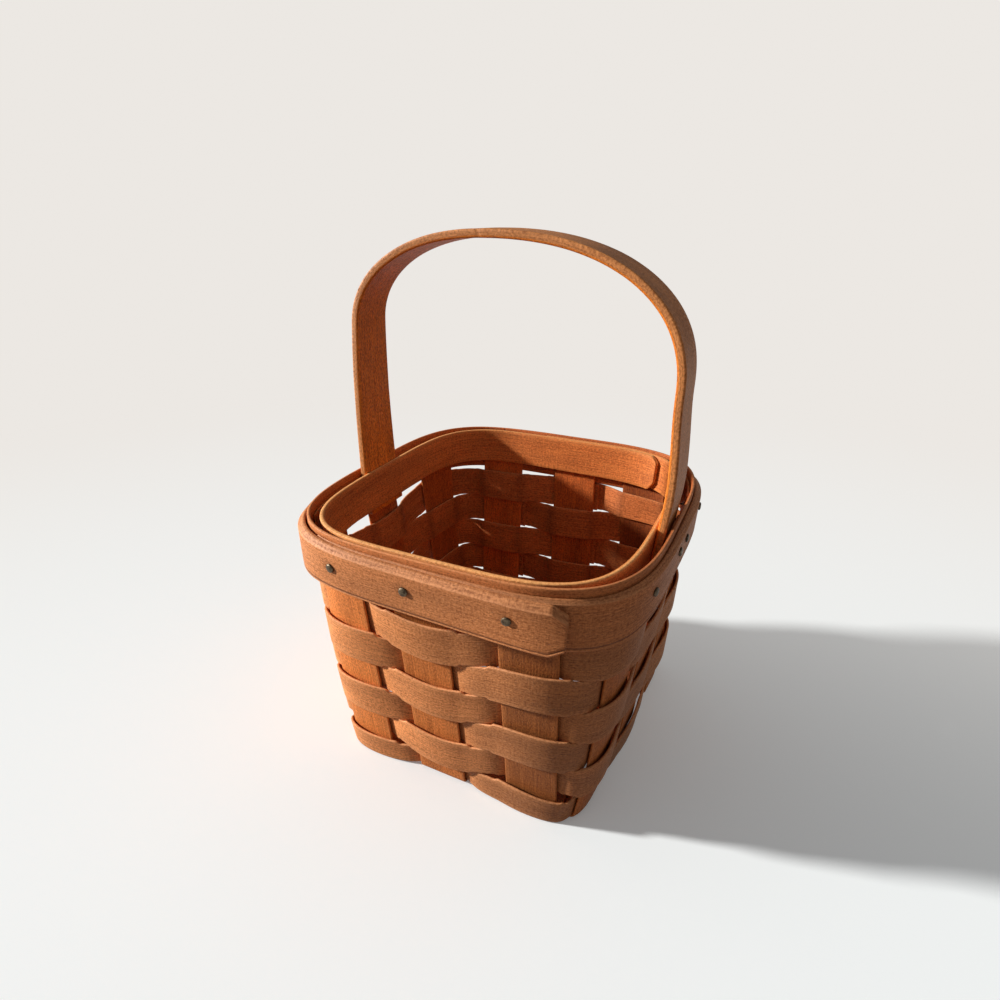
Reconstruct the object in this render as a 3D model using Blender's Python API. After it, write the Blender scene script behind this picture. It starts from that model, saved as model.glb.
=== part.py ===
"""Square splint basket with a fixed arched handle, built as separate strips.

Six long splints cross in the base and turn up to make twelve uprights.
Six weaver hoops pass in front of one upright and behind the next.
A top strip, an outer band and an inner band grip the tops of the uprights,
and tacks hold the bands and the two feet of the handle.
Lengths are in metres, z is up, and the basket stands on z = 0.
"""
import bpy
from mathutils import Vector
from math import sin, cos, pi, atan2, hypot, radians, copysign, exp

MM = 0.001

# Clear distance left between two pieces that touch on the real basket.
GAP = 0.3 * MM

# Overall wall: half of the width across the middle of the uprights.
RIM_HEIGHT = 124.0 * MM
BASE_HALF = 61.5 * MM
RIM_HALF = 74.7 * MM
# How square the plan is: a large value gives a tight corner.
BASE_SQUARENESS = 10.0
RIM_SQUARENESS = 3.88
# Above one, the corners stay tight until close to the rim.
SQUARENESS_HOLD = 1.7
# The right edge of the base runs askew: out at the back, in at the front.
BACK_CORNER_DRAW = 6.0 * MM
FRONT_CORNER_DRAW = -2.6 * MM

# Long splints that make the base and the uprights.
SPLINT_WIDTH = 23.5 * MM
SPLINT_THICKNESS = 1.2 * MM
SPLINT_BEND_RADIUS = 2.6 * MM
SPLINT_END_BELOW_RIM = 4.0 * MM
# Lengthwise lines of the three splints, closer together next to a corner.
SPLINT_LINES = ((0.0, 0.17, 0.45, 1.0), (0.0, 0.33, 0.67, 1.0), (0.0, 0.55, 0.83, 1.0))
# Distance past a crossing splint over which a splint in the base stays level.
SPLINT_CROSS_MARGIN = 1.4 * MM
# How far the outer splints stand in from the edge of the base, at each wall.
FRONT_INSETS = (16.9 * MM, 22.0 * MM)
BACK_INSETS = (23.1 * MM, 16.4 * MM)
LEFT_INSETS = (16.9 * MM, 15.9 * MM)
RIGHT_INSETS = (15.9 * MM, 19.0 * MM)
# Where the middle splints stand at each wall.
FRONT_MIDDLE = -5.9 * MM
BACK_MIDDLE = 5.4 * MM
LEFT_MIDDLE = -3.0 * MM
RIGHT_MIDDLE = -2.0 * MM

# Weaver hoops, counted from the rim down.
WEAVER_ROWS = 6
WEAVER_THICKNESS = 1.2 * MM
TOP_ROW_CLEARANCE = 3.15 * MM
LOWEST_FULL_ROW = 23.3 * MM
ROW_GAP = 0.5 * MM
WEAVER_SWING = 2.6 * MM
WEAVER_EDGE_SWING = 1.8 * MM
WEAVER_EDGE_MARGIN = 0.8 * MM
WEAVER_LAP_MARGIN = 2.0 * MM
WEAVER_LAP_RAMP = 12.0 * MM
# Uprights behind which the ends of the rows are tucked, turn about.
WEAVER_LAP_UPRIGHTS = (7, 8)
# Rows sag in the middle of the front and rise a little towards the back.
ROW_SAG = 3.0 * MM
ROW_TILT = 1.7 * MM
# Rows ride up over the right upright of the front.
ROW_LIFT = 2.4 * MM
ROW_LIFT_PLACE = -65.0
ROW_LIFT_SPREAD = 14.0
BOTTOM_ROW_HEIGHT = 11.5 * MM
BOTTOM_ROW_FOOT = 1.2 * MM
BOTTOM_ROW_WANDER = 0.9 * MM

# Smooth strip that closes the weave at the top.
TOP_STRIP_THICKNESS = 1.4 * MM
TOP_STRIP_HEIGHT = 24.0 * MM
TOP_STRIP_JOINT = 0.3 * MM

# Outer band: a thick moulded strip whose end laps over its own start.
OUTER_BAND_HEIGHT = 22.0 * MM
OUTER_BAND_THICKNESS = 3.3 * MM
OUTER_BAND_START_THICKNESS = 0.6 * MM
OUTER_BAND_SCARF = 200.0 * MM
OUTER_BAND_RAMP = 32.0 * MM
OUTER_BAND_BEVEL = 2.3 * MM
OUTER_BAND_BEVEL_SHARE = 0.66
OUTER_BAND_DROP = 2.6 * MM
OUTER_BAND_TILT = 0.012
OUTER_BAND_START_X = -50.0 * MM
OUTER_BAND_END_X = 53.0 * MM
OUTER_BAND_CORNER = 4.6 * MM
OUTER_BAND_CORNER_DROP = 3.4 * MM

# Inner band, pushed in at both sides by the feet of the handle.
INNER_BAND_HEIGHT = 18.0 * MM
INNER_BAND_THICKNESS = 2.0 * MM
INNER_BAND_START_THICKNESS = 0.7 * MM
INNER_BAND_SCARF = 110.0 * MM
INNER_BAND_RAMP = 30.0 * MM
INNER_BAND_BEVEL = 0.6 * MM
INNER_BAND_BEVEL_SHARE = 0.35
INNER_BAND_DROP = 0.5 * MM
INNER_BAND_SQUARENESS = 4.1
INNER_BAND_START_X = -12.0 * MM
INNER_BAND_END_X = 54.5 * MM
INNER_BAND_CORNER = 4.5 * MM
INNER_BAND_CORNER_DROP = 3.0 * MM
INNER_BAND_CORNER_RISE = 5.0 * MM

# Handle: one flat bent strip.
HANDLE_THICKNESS = 3.5 * MM
HANDLE_FOOT_WIDTH = 25.4 * MM
HANDLE_TOP_WIDTH = 20.5 * MM
HANDLE_EDGE_ROUND = 0.8 * MM
HANDLE_FOOT_DEPTH = 22.5 * MM
HANDLE_RISE = 107.8 * MM
HANDLE_TOP_SHIFT = -15.4 * MM
HANDLE_TOP_BACK = 11.1 * MM
# Height above the rim over which the feet run straight on.
HANDLE_STRAIGHT = 6.0 * MM
# How far each side stands out past the rim's half width, and how high it turns in.
HANDLE_LEFT_BULGE = 1.9 * MM
HANDLE_LEFT_SHOULDER = 68.3 * MM
HANDLE_LEFT_FULLNESS = 2.11
HANDLE_RIGHT_BULGE = -3.2 * MM
HANDLE_RIGHT_SHOULDER = 51.1 * MM
HANDLE_RIGHT_FULLNESS = 2.29

# Tacks through the bands.
TACK_DROP = 11.6 * MM
TACK_HEAD_RADIUS = 2.0 * MM
TACK_HEAD_HEIGHT = 0.9 * MM
TACK_SHANK_RADIUS = 0.6 * MM
TACK_HOLE_CLEARANCE = 0.3 * MM
TACK_POINT = 1.2 * MM
# Shares of the shank's and the head's size at the point, seat and crown.
TACK_POINT_SHARE = 0.35
TACK_SEAT_SHARE = 0.94
TACK_SIDE_SHARE = 0.4
TACK_CROWN_SHARE = 0.6
TACK_HOLE_EXTRA = 3.0 * MM
HANDLE_TACK_SPREAD = 6.5 * MM
TACK_INSET = 4.5 * MM

# Fineness of the curves.
PATH_SAMPLES = 1800
PATH_STATIONS = 900
PATH_TOLERANCE = 0.12 * MM
PROBE_STEP = 0.05 * MM
WALL_STEPS = 9
BEND_STEPS = 4
FLOOR_STEPS = 22
HANDLE_FOOT_STEPS = 5
HANDLE_RISE_STEPS = 8
HANDLE_ARC_STEPS = 15
TACK_SIDES = 8
SHARP_ANGLE = 38.0


def clear_scene():
    """Remove every object the file starts with."""
    for old in list(bpy.data.objects):
        bpy.data.objects.remove(old, do_unlink=True)


def linear(channel):
    """Turn one display colour channel into a linear one."""
    if channel <= 0.04045:
        return channel / 12.92
    return ((channel + 0.055) / 1.055) ** 2.4


def plain_material(name, red, green, blue, roughness, metallic):
    """Make one plain surface from display colours."""
    material = bpy.data.materials.new(name)
    material.use_nodes = True
    shader = material.node_tree.nodes["Principled BSDF"]
    colour = (linear(red), linear(green), linear(blue), 1.0)
    shader.inputs["Base Color"].default_value = colour
    shader.inputs["Roughness"].default_value = roughness
    shader.inputs["Metallic"].default_value = metallic
    material.diffuse_color = colour
    return material


def splint_material(index):
    """Orange-brown split wood of a long splint."""
    tone = 0.02 * (index % 3)
    return plain_material(f"long_splint_wood_{index}", 0.77 - tone, 0.43 - tone, 0.22, 0.6, 0.0)


def weaver_material(index):
    """Lighter brown split wood of a weaver."""
    tone = 0.015 * (index % 4)
    return plain_material(f"weaver_wood_{index}", 0.79 - tone, 0.50 - tone, 0.32, 0.62, 0.0)


def top_strip_material():
    """Wood of the strip that closes the weave."""
    return plain_material("top_strip_wood", 0.76, 0.48, 0.31, 0.6, 0.0)


def outer_band_material():
    """Wood of the outer band."""
    return plain_material("outer_band_wood", 0.81, 0.52, 0.34, 0.55, 0.0)


def inner_band_material():
    """Wood of the inner band."""
    return plain_material("inner_band_wood", 0.76, 0.45, 0.27, 0.58, 0.0)


def handle_material():
    """Wood of the handle."""
    return plain_material("handle_wood", 0.68, 0.37, 0.19, 0.5, 0.0)


def tack_material(index):
    """Dull dark metal of a tack."""
    return plain_material(f"tack_metal_{index}", 0.45, 0.40, 0.34, 0.45, 0.9)


def row_pitch():
    """Distance from one weaver to the next, set by the top strip and the lowest row."""
    room = RIM_HEIGHT - TOP_STRIP_HEIGHT - TOP_ROW_CLEARANCE - LOWEST_FULL_ROW
    return (room + ROW_GAP / 2.0) / (WEAVER_ROWS - 1.5)


def row_centre(row):
    """Height of the middle of one full row."""
    return LOWEST_FULL_ROW + (WEAVER_ROWS - 2 - row) * row_pitch()


def half_size(z):
    """Half width of the wall at one height."""
    return BASE_HALF + (RIM_HALF - BASE_HALF) * z / RIM_HEIGHT


def squareness(z):
    """Exponent of the plan outline at one height."""
    share = min(max(z / RIM_HEIGHT, 0.0), 1.0) ** SQUARENESS_HOLD
    low = 1.0 / BASE_SQUARENESS
    high = 1.0 / RIM_SQUARENESS
    return 1.0 / (low + (high - low) * share)


def wall_reach(across, z):
    """Distance from the middle to a wall, at a place across that wall."""
    half = half_size(z)
    power = squareness(z)
    part = min(abs(across) / half, 0.9999)
    return half * (1.0 - part ** power) ** (1.0 / power)


def plan_point(angle, half_x, half_y, power):
    """Point and outward direction on a squarish outline, by polar angle."""
    c = cos(angle)
    s = sin(angle)
    radius = (abs(c / half_x) ** power + abs(s / half_y) ** power) ** (-1.0 / power)
    x = radius * c
    y = radius * s
    nx = copysign(abs(x / half_x) ** (power - 1.0) / half_x, x)
    ny = copysign(abs(y / half_y) ** (power - 1.0) / half_y, y)
    size = hypot(nx, ny)
    return x, y, nx / size, ny / size


def drawn_out(x, y, z):
    """Point moved sideways by the two drawn corners of the base."""
    half = half_size(z)
    right = 0.5 + 0.5 * x / half
    back = 0.5 + 0.5 * y / half
    low = 1.0 - z / RIM_HEIGHT
    out = BACK_CORNER_DRAW * right * back ** 2
    out += FRONT_CORNER_DRAW * right ** 3 * (1.0 - back) ** 2
    return Vector((x + out * low, y, z))


def wall_point(angle, z, offset):
    """Point on the wall at one height, moved out by an offset."""
    half = half_size(z)
    x, y, nx, ny = plan_point(angle, half, half, squareness(z))
    return drawn_out(x + nx * offset, y + ny * offset, z)


def smooth_step(value):
    """Ease from nought to one."""
    value = min(max(value, 0.0), 1.0)
    return value * value * (3.0 - 2.0 * value)


def signed_volume(points, faces):
    """Volume of a closed mesh, negative when it is inside out."""
    total = 0.0
    for face in faces:
        first = points[face[0]]
        for k in range(1, len(face) - 1):
            total += first.dot(points[face[k]].cross(points[face[k + 1]]))
    return total / 6.0


def solid_object(name, points, faces, material, origin):
    """Make one object from points in basket coordinates."""
    if signed_volume(points, faces) < 0.0:
        faces = [tuple(reversed(face)) for face in faces]
    mesh = bpy.data.meshes.new(name)
    mesh.from_pydata([tuple(p - origin) for p in points], [], faces)
    mesh.update()
    mesh.materials.append(material)
    mesh.shade_smooth()
    mesh.set_sharp_from_angle(angle=radians(SHARP_ANGLE))
    item = bpy.data.objects.new(name, mesh)
    item.location = origin
    bpy.context.scene.collection.objects.link(item)
    return item


def slab(name, outer, inner, material, origin):
    """Close two matching sheets of points into one strip."""
    rows = len(outer)
    cols = len(outer[0])
    points = [p for row in outer for p in row]
    points += [p for row in inner for p in row]
    shift = rows * cols
    faces = []
    for r in range(rows - 1):
        for c in range(cols - 1):
            a = r * cols + c
            b = a + 1
            d = a + cols
            e = d + 1
            faces.append((a, b, e, d))
            faces.append((a + shift, d + shift, e + shift, b + shift))
        a = r * cols
        d = a + cols
        faces.append((a, d, d + shift, a + shift))
        b = a + cols - 1
        e = b + cols
        faces.append((b, b + shift, e + shift, e))
    for c in range(cols - 1):
        a = c
        b = c + 1
        faces.append((a, a + shift, b + shift, b))
        a = (rows - 1) * cols + c
        b = a + 1
        faces.append((a, b, b + shift, a + shift))
    return solid_object(name, points, faces, material, origin)


class Girth:
    """A closed plan outline walked by distance from a starting angle."""

    def __init__(self, start_angle, half_x, half_y, power, turn):
        self.half_x = half_x
        self.half_y = half_y
        self.power = power
        self.angles = []
        self.lengths = []
        length = 0.0
        last = None
        for k in range(PATH_SAMPLES + 1):
            angle = start_angle + turn * 2.0 * pi * k / PATH_SAMPLES
            x, y, nx, ny = plan_point(angle, half_x, half_y, power)
            if last is not None:
                length += hypot(x - last[0], y - last[1])
            last = (x, y)
            self.angles.append(angle)
            self.lengths.append(length)
        self.total = length

    def angle_at(self, distance):
        """Polar angle after walking a distance, more than one turn allowed."""
        turns = int(distance // self.total)
        rest = distance - turns * self.total
        low = 0
        high = PATH_SAMPLES
        while high - low > 1:
            middle = (low + high) // 2
            if self.lengths[middle] <= rest:
                low = middle
            else:
                high = middle
        span = self.lengths[high] - self.lengths[low]
        share = (rest - self.lengths[low]) / span
        return self.angles[low] + (self.angles[high] - self.angles[low]) * share

    def distance_at(self, x, y):
        """Distance walked to the place on the outline nearest one direction."""
        target = atan2(y, x)
        best = 0
        least = 10.0
        for k in range(PATH_SAMPLES):
            turn = (self.angles[k] - target + pi) % (2.0 * pi) - pi
            if abs(turn) < least:
                least = abs(turn)
                best = k
        return self.lengths[best]


def thin_out(values, points, tolerance):
    """Keep only the stations needed to follow a path of points."""
    keep = {0, len(points) - 1}
    work = [(0, len(points) - 1)]
    while work:
        low, high = work.pop()
        a = points[low]
        b = points[high]
        run = b - a
        size = run.length
        worst = 0.0
        place = None
        for k in range(low + 1, high):
            rel = points[k] - a
            if size > 1e-9:
                away = (rel - run * (rel.dot(run) / (size * size))).length
            else:
                away = rel.length
            if away > worst:
                worst = away
                place = k
        if place is not None and worst > tolerance:
            keep.add(place)
            work.append((low, place))
            work.append((place, high))
    return [values[k] for k in sorted(keep)]


def path_stations(length, locate, tolerance):
    """Distances along a path, close together only where it bends."""
    values = [length * k / PATH_STATIONS for k in range(PATH_STATIONS + 1)]
    points = [locate(v) for v in values]
    return thin_out(values, points, tolerance)


def side_places(insets, middle):
    """Places across one wall of its three uprights."""
    return insets[0] - BASE_HALF, middle, BASE_HALF - insets[1]


def splint_ends(lengthwise):
    """Places of three splints at their first wall and at their last wall."""
    if lengthwise:
        return side_places(FRONT_INSETS, FRONT_MIDDLE), side_places(BACK_INSETS, BACK_MIDDLE)
    return side_places(LEFT_INSETS, LEFT_MIDDLE), side_places(RIGHT_INSETS, RIGHT_MIDDLE)


def upright_places():
    """Plan places of the twelve uprights, anticlockwise from the front left."""
    front, back = splint_ends(True)
    left, right = splint_ends(False)
    places = [("front", across) for across in front]
    places += [("right", across) for across in right]
    places += [("back", across) for across in reversed(back)]
    places += [("left", across) for across in reversed(left)]
    return places


def upright_plan(place, z):
    """Plan point of one upright's middle at a height."""
    side, across = place
    reach = wall_reach(across, z)
    if side == "front":
        return across, -reach
    if side == "right":
        return reach, across
    if side == "back":
        return across, reach
    return -reach, across


def passes_outside(upright, row):
    """Whether a weaver runs outside an upright."""
    return (upright + row) % 2 == 1


def weave_offset(distance, stations):
    """Distance of a weaver from the middle of the wall."""
    half = SPLINT_WIDTH / 2.0 + WEAVER_EDGE_MARGIN
    rise = WEAVER_SWING - WEAVER_EDGE_SWING
    slope = 2.0 * rise / half
    for k in range(len(stations) - 1):
        place, side = stations[k]
        after, other = stations[k + 1]
        if distance > after:
            continue
        if distance - place <= half:
            part = (distance - place) / half
            return side * (WEAVER_EDGE_SWING + rise * (1.0 - part * part))
        if after - distance <= half:
            part = (after - distance) / half
            return other * (WEAVER_EDGE_SWING + rise * (1.0 - part * part))
        span = after - place - 2.0 * half
        t = (distance - place - half) / span
        start = side * WEAVER_EDGE_SWING
        end = other * WEAVER_EDGE_SWING
        start_slope = -side * slope * span
        end_slope = other * slope * span
        value = (2 * t ** 3 - 3 * t ** 2 + 1) * start
        value += (t ** 3 - 2 * t ** 2 + t) * start_slope
        value += (3 * t ** 2 - 2 * t ** 3) * end
        value += (t ** 3 - t ** 2) * end_slope
        return value
    return 0.0


def row_lift(angle):
    """Rise of the rows over the right upright of the front."""
    away = (angle - radians(ROW_LIFT_PLACE) + pi) % (2.0 * pi) - pi
    return ROW_LIFT * exp(-(away / radians(ROW_LIFT_SPREAD)) ** 2)


def row_drift(angle, centre):
    """Rise and fall of a full row round the basket."""
    front = 0.5 - 0.5 * sin(angle)
    sag = ROW_SAG * front * cos(4.0 * angle)
    return ROW_TILT * centre / RIM_HEIGHT * sin(angle) - sag + row_lift(angle)


def build_weaver(row):
    """One weaver hoop, its end lapped over its start behind the basket."""
    bottom = row == WEAVER_ROWS - 1
    height = BOTTOM_ROW_HEIGHT if bottom else row_pitch() - ROW_GAP
    centre = BOTTOM_ROW_FOOT + height / 2.0 if bottom else row_centre(row)
    half = half_size(centre)
    lap_upright = WEAVER_LAP_UPRIGHTS[row % 2]
    places = upright_places()
    x, y = upright_plan(places[lap_upright], centre)
    probe = Girth(0.0, half, half, squareness(centre), 1.0)
    lead = SPLINT_WIDTH / 2.0 + WEAVER_LAP_MARGIN
    start_angle = probe.angle_at((probe.distance_at(x, y) - lead) % probe.total)
    girth = Girth(start_angle, half, half, squareness(centre), 1.0)
    total = girth.total
    stations = []
    for k, place in enumerate(places):
        px, py = upright_plan(place, centre)
        side = 1.0 if passes_outside(k, row) else -1.0
        stations.append((girth.distance_at(px, py), side))
    stations.sort()
    before = (stations[-1][0] - total, stations[-1][1])
    second = [(place + total, side) for place, side in stations[:2]]
    stations = [before] + stations + second
    lap = 2.0 * lead
    step = WEAVER_THICKNESS + GAP
    length = total + lap

    def offset_at(distance):
        extra = step * smooth_step((distance - total + WEAVER_LAP_RAMP) / WEAVER_LAP_RAMP)
        return weave_offset(distance, stations) + extra

    def edges_at(distance):
        angle = girth.angle_at(distance)
        if bottom:
            swing = weave_offset(distance, stations) / WEAVER_EDGE_SWING
            level = centre - BOTTOM_ROW_WANDER * min(max(swing, -1.0), 1.0)
            return level + height / 2.0 + row_lift(angle), level - height / 2.0
        level = centre + row_drift(angle, centre)
        return level + height / 2.0, level - height / 2.0

    def locate(distance):
        level = sum(edges_at(distance)) / 2.0
        return wall_point(girth.angle_at(distance), level, offset_at(distance))

    outer = []
    inner = []
    for d in path_stations(length, locate, PATH_TOLERANCE):
        low = max(d - PROBE_STEP, 0.0)
        high = min(d + PROBE_STEP, length)
        run = locate(high) - locate(low)
        out = Vector((run.y, -run.x, 0.0)).normalized() * (WEAVER_THICKNESS / 2.0)
        angle = girth.angle_at(d)
        offset = offset_at(d)
        top, foot = [wall_point(angle, edge, offset) for edge in edges_at(d)]
        outer.append([top + out, foot + out])
        inner.append([top - out, foot - out])
    origin = Vector((0.0, 0.0, centre))
    return slab(f"weaver_{row + 1}", outer, inner, weaver_material(row), origin)


def splint_level(along, crossings, parity):
    """Height of the middle of a splint in the base."""
    low = SPLINT_THICKNESS / 2.0
    high = low + SPLINT_THICKNESS + GAP
    half = SPLINT_WIDTH / 2.0 + SPLINT_CROSS_MARGIN
    levels = [high if (k + parity) % 2 == 0 else low for k in range(len(crossings))]
    if along <= crossings[0] + half:
        return levels[0]
    for k in range(len(crossings) - 1):
        leave = crossings[k] + half
        arrive = crossings[k + 1] - half
        if along < leave:
            return levels[k]
        if along <= arrive:
            share = smooth_step((along - leave) / (arrive - leave))
            return levels[k] + (levels[k + 1] - levels[k]) * share
    return levels[-1]


def between_ends(ends, index, along):
    """Place across the base of one splint that runs a little askew."""
    share = min(max(0.5 + 0.5 * along / BASE_HALF, 0.0), 1.0)
    return ends[0][index] + (ends[1][index] - ends[0][index]) * share


def splint_profile(index, lengthwise, aside):
    """Walk one lengthwise line of a splint, from rim to rim."""
    ends = splint_ends(lengthwise)
    others = splint_ends(not lengthwise)
    parity = index if lengthwise else index + 1
    radius = SPLINT_BEND_RADIUS
    top = RIM_HEIGHT - SPLINT_END_BELOW_RIM

    def level_at(along, across):
        crossings = [between_ends(others, k, across) for k in range(len(others[0]))]
        return splint_level(along, crossings, parity)

    def climb(end):
        across = between_ends(ends, index, end * BASE_HALF) + aside
        foot = level_at(end * BASE_HALF, across) + radius
        reach = wall_reach(across, foot)
        wall = []
        for k in range(WALL_STEPS + 1):
            z = top + (foot - top) * k / WALL_STEPS
            wall.append((end * wall_reach(across, z), across, z))
        for k in range(1, BEND_STEPS + 1):
            turn = pi / 2.0 * k / BEND_STEPS
            out = reach - radius + radius * cos(turn)
            wall.append((end * out, across, foot - radius * sin(turn)))
        return wall

    first = climb(-1.0)
    last = climb(1.0)
    near = first[-1][0]
    far = last[-1][0]
    floor = []
    for k in range(1, FLOOR_STEPS):
        along = near + (far - near) * k / FLOOR_STEPS
        across = between_ends(ends, index, along) + aside
        floor.append((along, across, level_at(along, across)))
    return first + floor + list(reversed(last))


def build_long_splint(index, lengthwise):
    """One long splint: up one wall, across the base and up the other."""
    lines = []
    for share in SPLINT_LINES[index]:
        profile = splint_profile(index, lengthwise, SPLINT_WIDTH * (share - 0.5))
        if lengthwise:
            lines.append([drawn_out(across, along, z) for along, across, z in profile])
        else:
            lines.append([drawn_out(along, across, z) for along, across, z in profile])
    count = len(lines[0])
    cols = len(lines)
    outer = []
    inner = []
    for k in range(count):
        row_out = []
        row_in = []
        for c in range(cols):
            ahead = lines[c][min(k + 1, count - 1)]
            behind = lines[c][max(k - 1, 0)]
            right = lines[min(c + 1, cols - 1)][k]
            left = lines[max(c - 1, 0)][k]
            normal = (ahead - behind).cross(right - left).normalized()
            if not lengthwise:
                normal = -normal
            row_out.append(lines[c][k] + normal * (SPLINT_THICKNESS / 2.0))
            row_in.append(lines[c][k] - normal * (SPLINT_THICKNESS / 2.0))
        outer.append(row_out)
        inner.append(row_in)
    kind = "lengthwise" if lengthwise else "crosswise"
    material = splint_material(index if lengthwise else index + 3)
    name = f"{kind}_splint_{index + 1}"
    return slab(name, outer, inner, material, Vector((0.0, 0.0, 0.0)))


def rim_girth(start_x, start_y, turn):
    """Outline of the wall at the rim, from a chosen place."""
    half = half_size(RIM_HEIGHT)
    angle = atan2(start_y, start_x)
    return Girth(angle, half, half, squareness(RIM_HEIGHT), turn)


def top_strip_inner():
    """Offset of the inside of the top strip from the middle of the wall."""
    return SPLINT_THICKNESS / 2.0 + GAP


def build_top_strip():
    """Smooth strip that closes the weave, its ends meeting at the back left."""
    start_x = splint_ends(True)[1][0]
    girth = rim_girth(start_x, wall_reach(start_x, RIM_HEIGHT), 1.0)
    length = girth.total - TOP_STRIP_JOINT
    near = top_strip_inner()
    far = near + TOP_STRIP_THICKNESS
    foot = RIM_HEIGHT - TOP_STRIP_HEIGHT
    levels = (RIM_HEIGHT, RIM_HEIGHT - TOP_STRIP_HEIGHT / 2.0, foot)

    def locate(d):
        return wall_point(girth.angle_at(d), RIM_HEIGHT, far)

    outer = []
    inner = []
    for d in path_stations(length, locate, PATH_TOLERANCE):
        angle = girth.angle_at(d)
        outer.append([wall_point(angle, z, far) for z in levels])
        inner.append([wall_point(angle, z, near) for z in levels])
    origin = Vector((0.0, 0.0, RIM_HEIGHT))
    return slab("top_strip", outer, inner, top_strip_material(), origin)


def outer_band_path():
    """Outline walked by the outer band, with its full length."""
    start_y = -wall_reach(OUTER_BAND_START_X, RIM_HEIGHT)
    girth = rim_girth(OUTER_BAND_START_X, start_y, 1.0)
    end_y = -wall_reach(OUTER_BAND_END_X, RIM_HEIGHT)
    lap = girth.distance_at(OUTER_BAND_END_X, end_y)
    return girth, girth.total + lap


def outer_band_thickness(d):
    """Thickness of the outer band, thinned to a scarf at its start."""
    share = min(max(d / OUTER_BAND_SCARF, 0.0), 1.0)
    growth = OUTER_BAND_THICKNESS - OUTER_BAND_START_THICKNESS
    return OUTER_BAND_START_THICKNESS + growth * share


def outer_band_inner(d, total):
    """Offset of the inside of the outer band from the middle of the wall."""
    seat = top_strip_inner() + TOP_STRIP_THICKNESS + GAP
    if d < total - OUTER_BAND_RAMP:
        return seat
    under = outer_band_thickness(max(d - total, 0.0)) + GAP
    return seat + under * smooth_step((d - total + OUTER_BAND_RAMP) / OUTER_BAND_RAMP)


def outer_band_top(x):
    """Height of the top edge of the outer band."""
    return RIM_HEIGHT - OUTER_BAND_DROP - OUTER_BAND_TILT * x


def build_outer_band():
    """Outer band with bevelled edges and a lapped, clipped end."""
    girth, length = outer_band_path()
    total = girth.total

    def locate(d):
        offset = outer_band_inner(d, total) + outer_band_thickness(d)
        return wall_point(girth.angle_at(d), RIM_HEIGHT, offset)

    stations = path_stations(length, locate, PATH_TOLERANCE)
    stations = [d for d in stations if d < length - OUTER_BAND_CORNER - MM]
    stations += [length - OUTER_BAND_CORNER, length - OUTER_BAND_CORNER * 0.5, length]
    outer = []
    inner = []
    for d in stations:
        angle = girth.angle_at(d)
        near = outer_band_inner(d, total)
        thick = outer_band_thickness(d)
        clip = max(0.0, 1.0 - (length - d) / OUTER_BAND_CORNER) * OUTER_BAND_CORNER_DROP
        middle = wall_point(angle, RIM_HEIGHT, near)
        top = outer_band_top(middle.x) - clip
        foot = outer_band_top(middle.x) - OUTER_BAND_HEIGHT + clip
        bevel = OUTER_BAND_BEVEL * thick / OUTER_BAND_THICKNESS
        lip = near + thick * (1.0 - OUTER_BAND_BEVEL_SHARE)
        far = near + thick
        outer.append([
            wall_point(angle, top, lip),
            wall_point(angle, top - bevel, far),
            wall_point(angle, foot + bevel, far),
            wall_point(angle, foot, lip),
        ])
        inner.append([
            wall_point(angle, top, near),
            wall_point(angle, top - bevel, near),
            wall_point(angle, foot + bevel, near),
            wall_point(angle, foot, near),
        ])
    origin = Vector((0.0, 0.0, RIM_HEIGHT - OUTER_BAND_DROP))
    return slab("outer_band", outer, inner, outer_band_material(), origin)


def handle_seat(z):
    """Place across the basket of the outside of a handle foot."""
    return half_size(z) - SPLINT_THICKNESS / 2.0 - GAP


def inner_band_halves(z):
    """Half sizes of the outside of the inner band at a height."""
    half_x = handle_seat(z) - HANDLE_THICKNESS - GAP
    half_y = half_size(z) - SPLINT_THICKNESS / 2.0 - GAP
    return half_x, half_y


def inner_band_point(angle, z, inward):
    """Point on the inner band, moved in by a distance."""
    half_x, half_y = inner_band_halves(z)
    x, y, nx, ny = plan_point(angle, half_x, half_y, INNER_BAND_SQUARENESS)
    return drawn_out(x - nx * inward, y - ny * inward, z)


def inner_band_path():
    """Outline walked by the inner band, clockwise, with its full length."""
    half_x, half_y = inner_band_halves(RIM_HEIGHT)
    power = INNER_BAND_SQUARENESS
    start_y = half_y * (1.0 - abs(INNER_BAND_START_X / half_x) ** power) ** (1.0 / power)
    end_y = half_y * (1.0 - abs(INNER_BAND_END_X / half_x) ** power) ** (1.0 / power)
    girth = Girth(atan2(start_y, INNER_BAND_START_X), half_x, half_y, power, -1.0)
    lap = girth.distance_at(INNER_BAND_END_X, end_y)
    return girth, girth.total + lap


def inner_band_thickness(d):
    """Thickness of the inner band, thinned to a scarf at its start."""
    share = min(max(d / INNER_BAND_SCARF, 0.0), 1.0)
    growth = INNER_BAND_THICKNESS - INNER_BAND_START_THICKNESS
    return INNER_BAND_START_THICKNESS + growth * share


def inner_band_inward(d, total):
    """How far the outside of the inner band stands in from its outline."""
    if d < total - INNER_BAND_RAMP:
        return 0.0
    under = inner_band_thickness(max(d - total, 0.0)) + GAP
    return under * smooth_step((d - total + INNER_BAND_RAMP) / INNER_BAND_RAMP)


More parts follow.
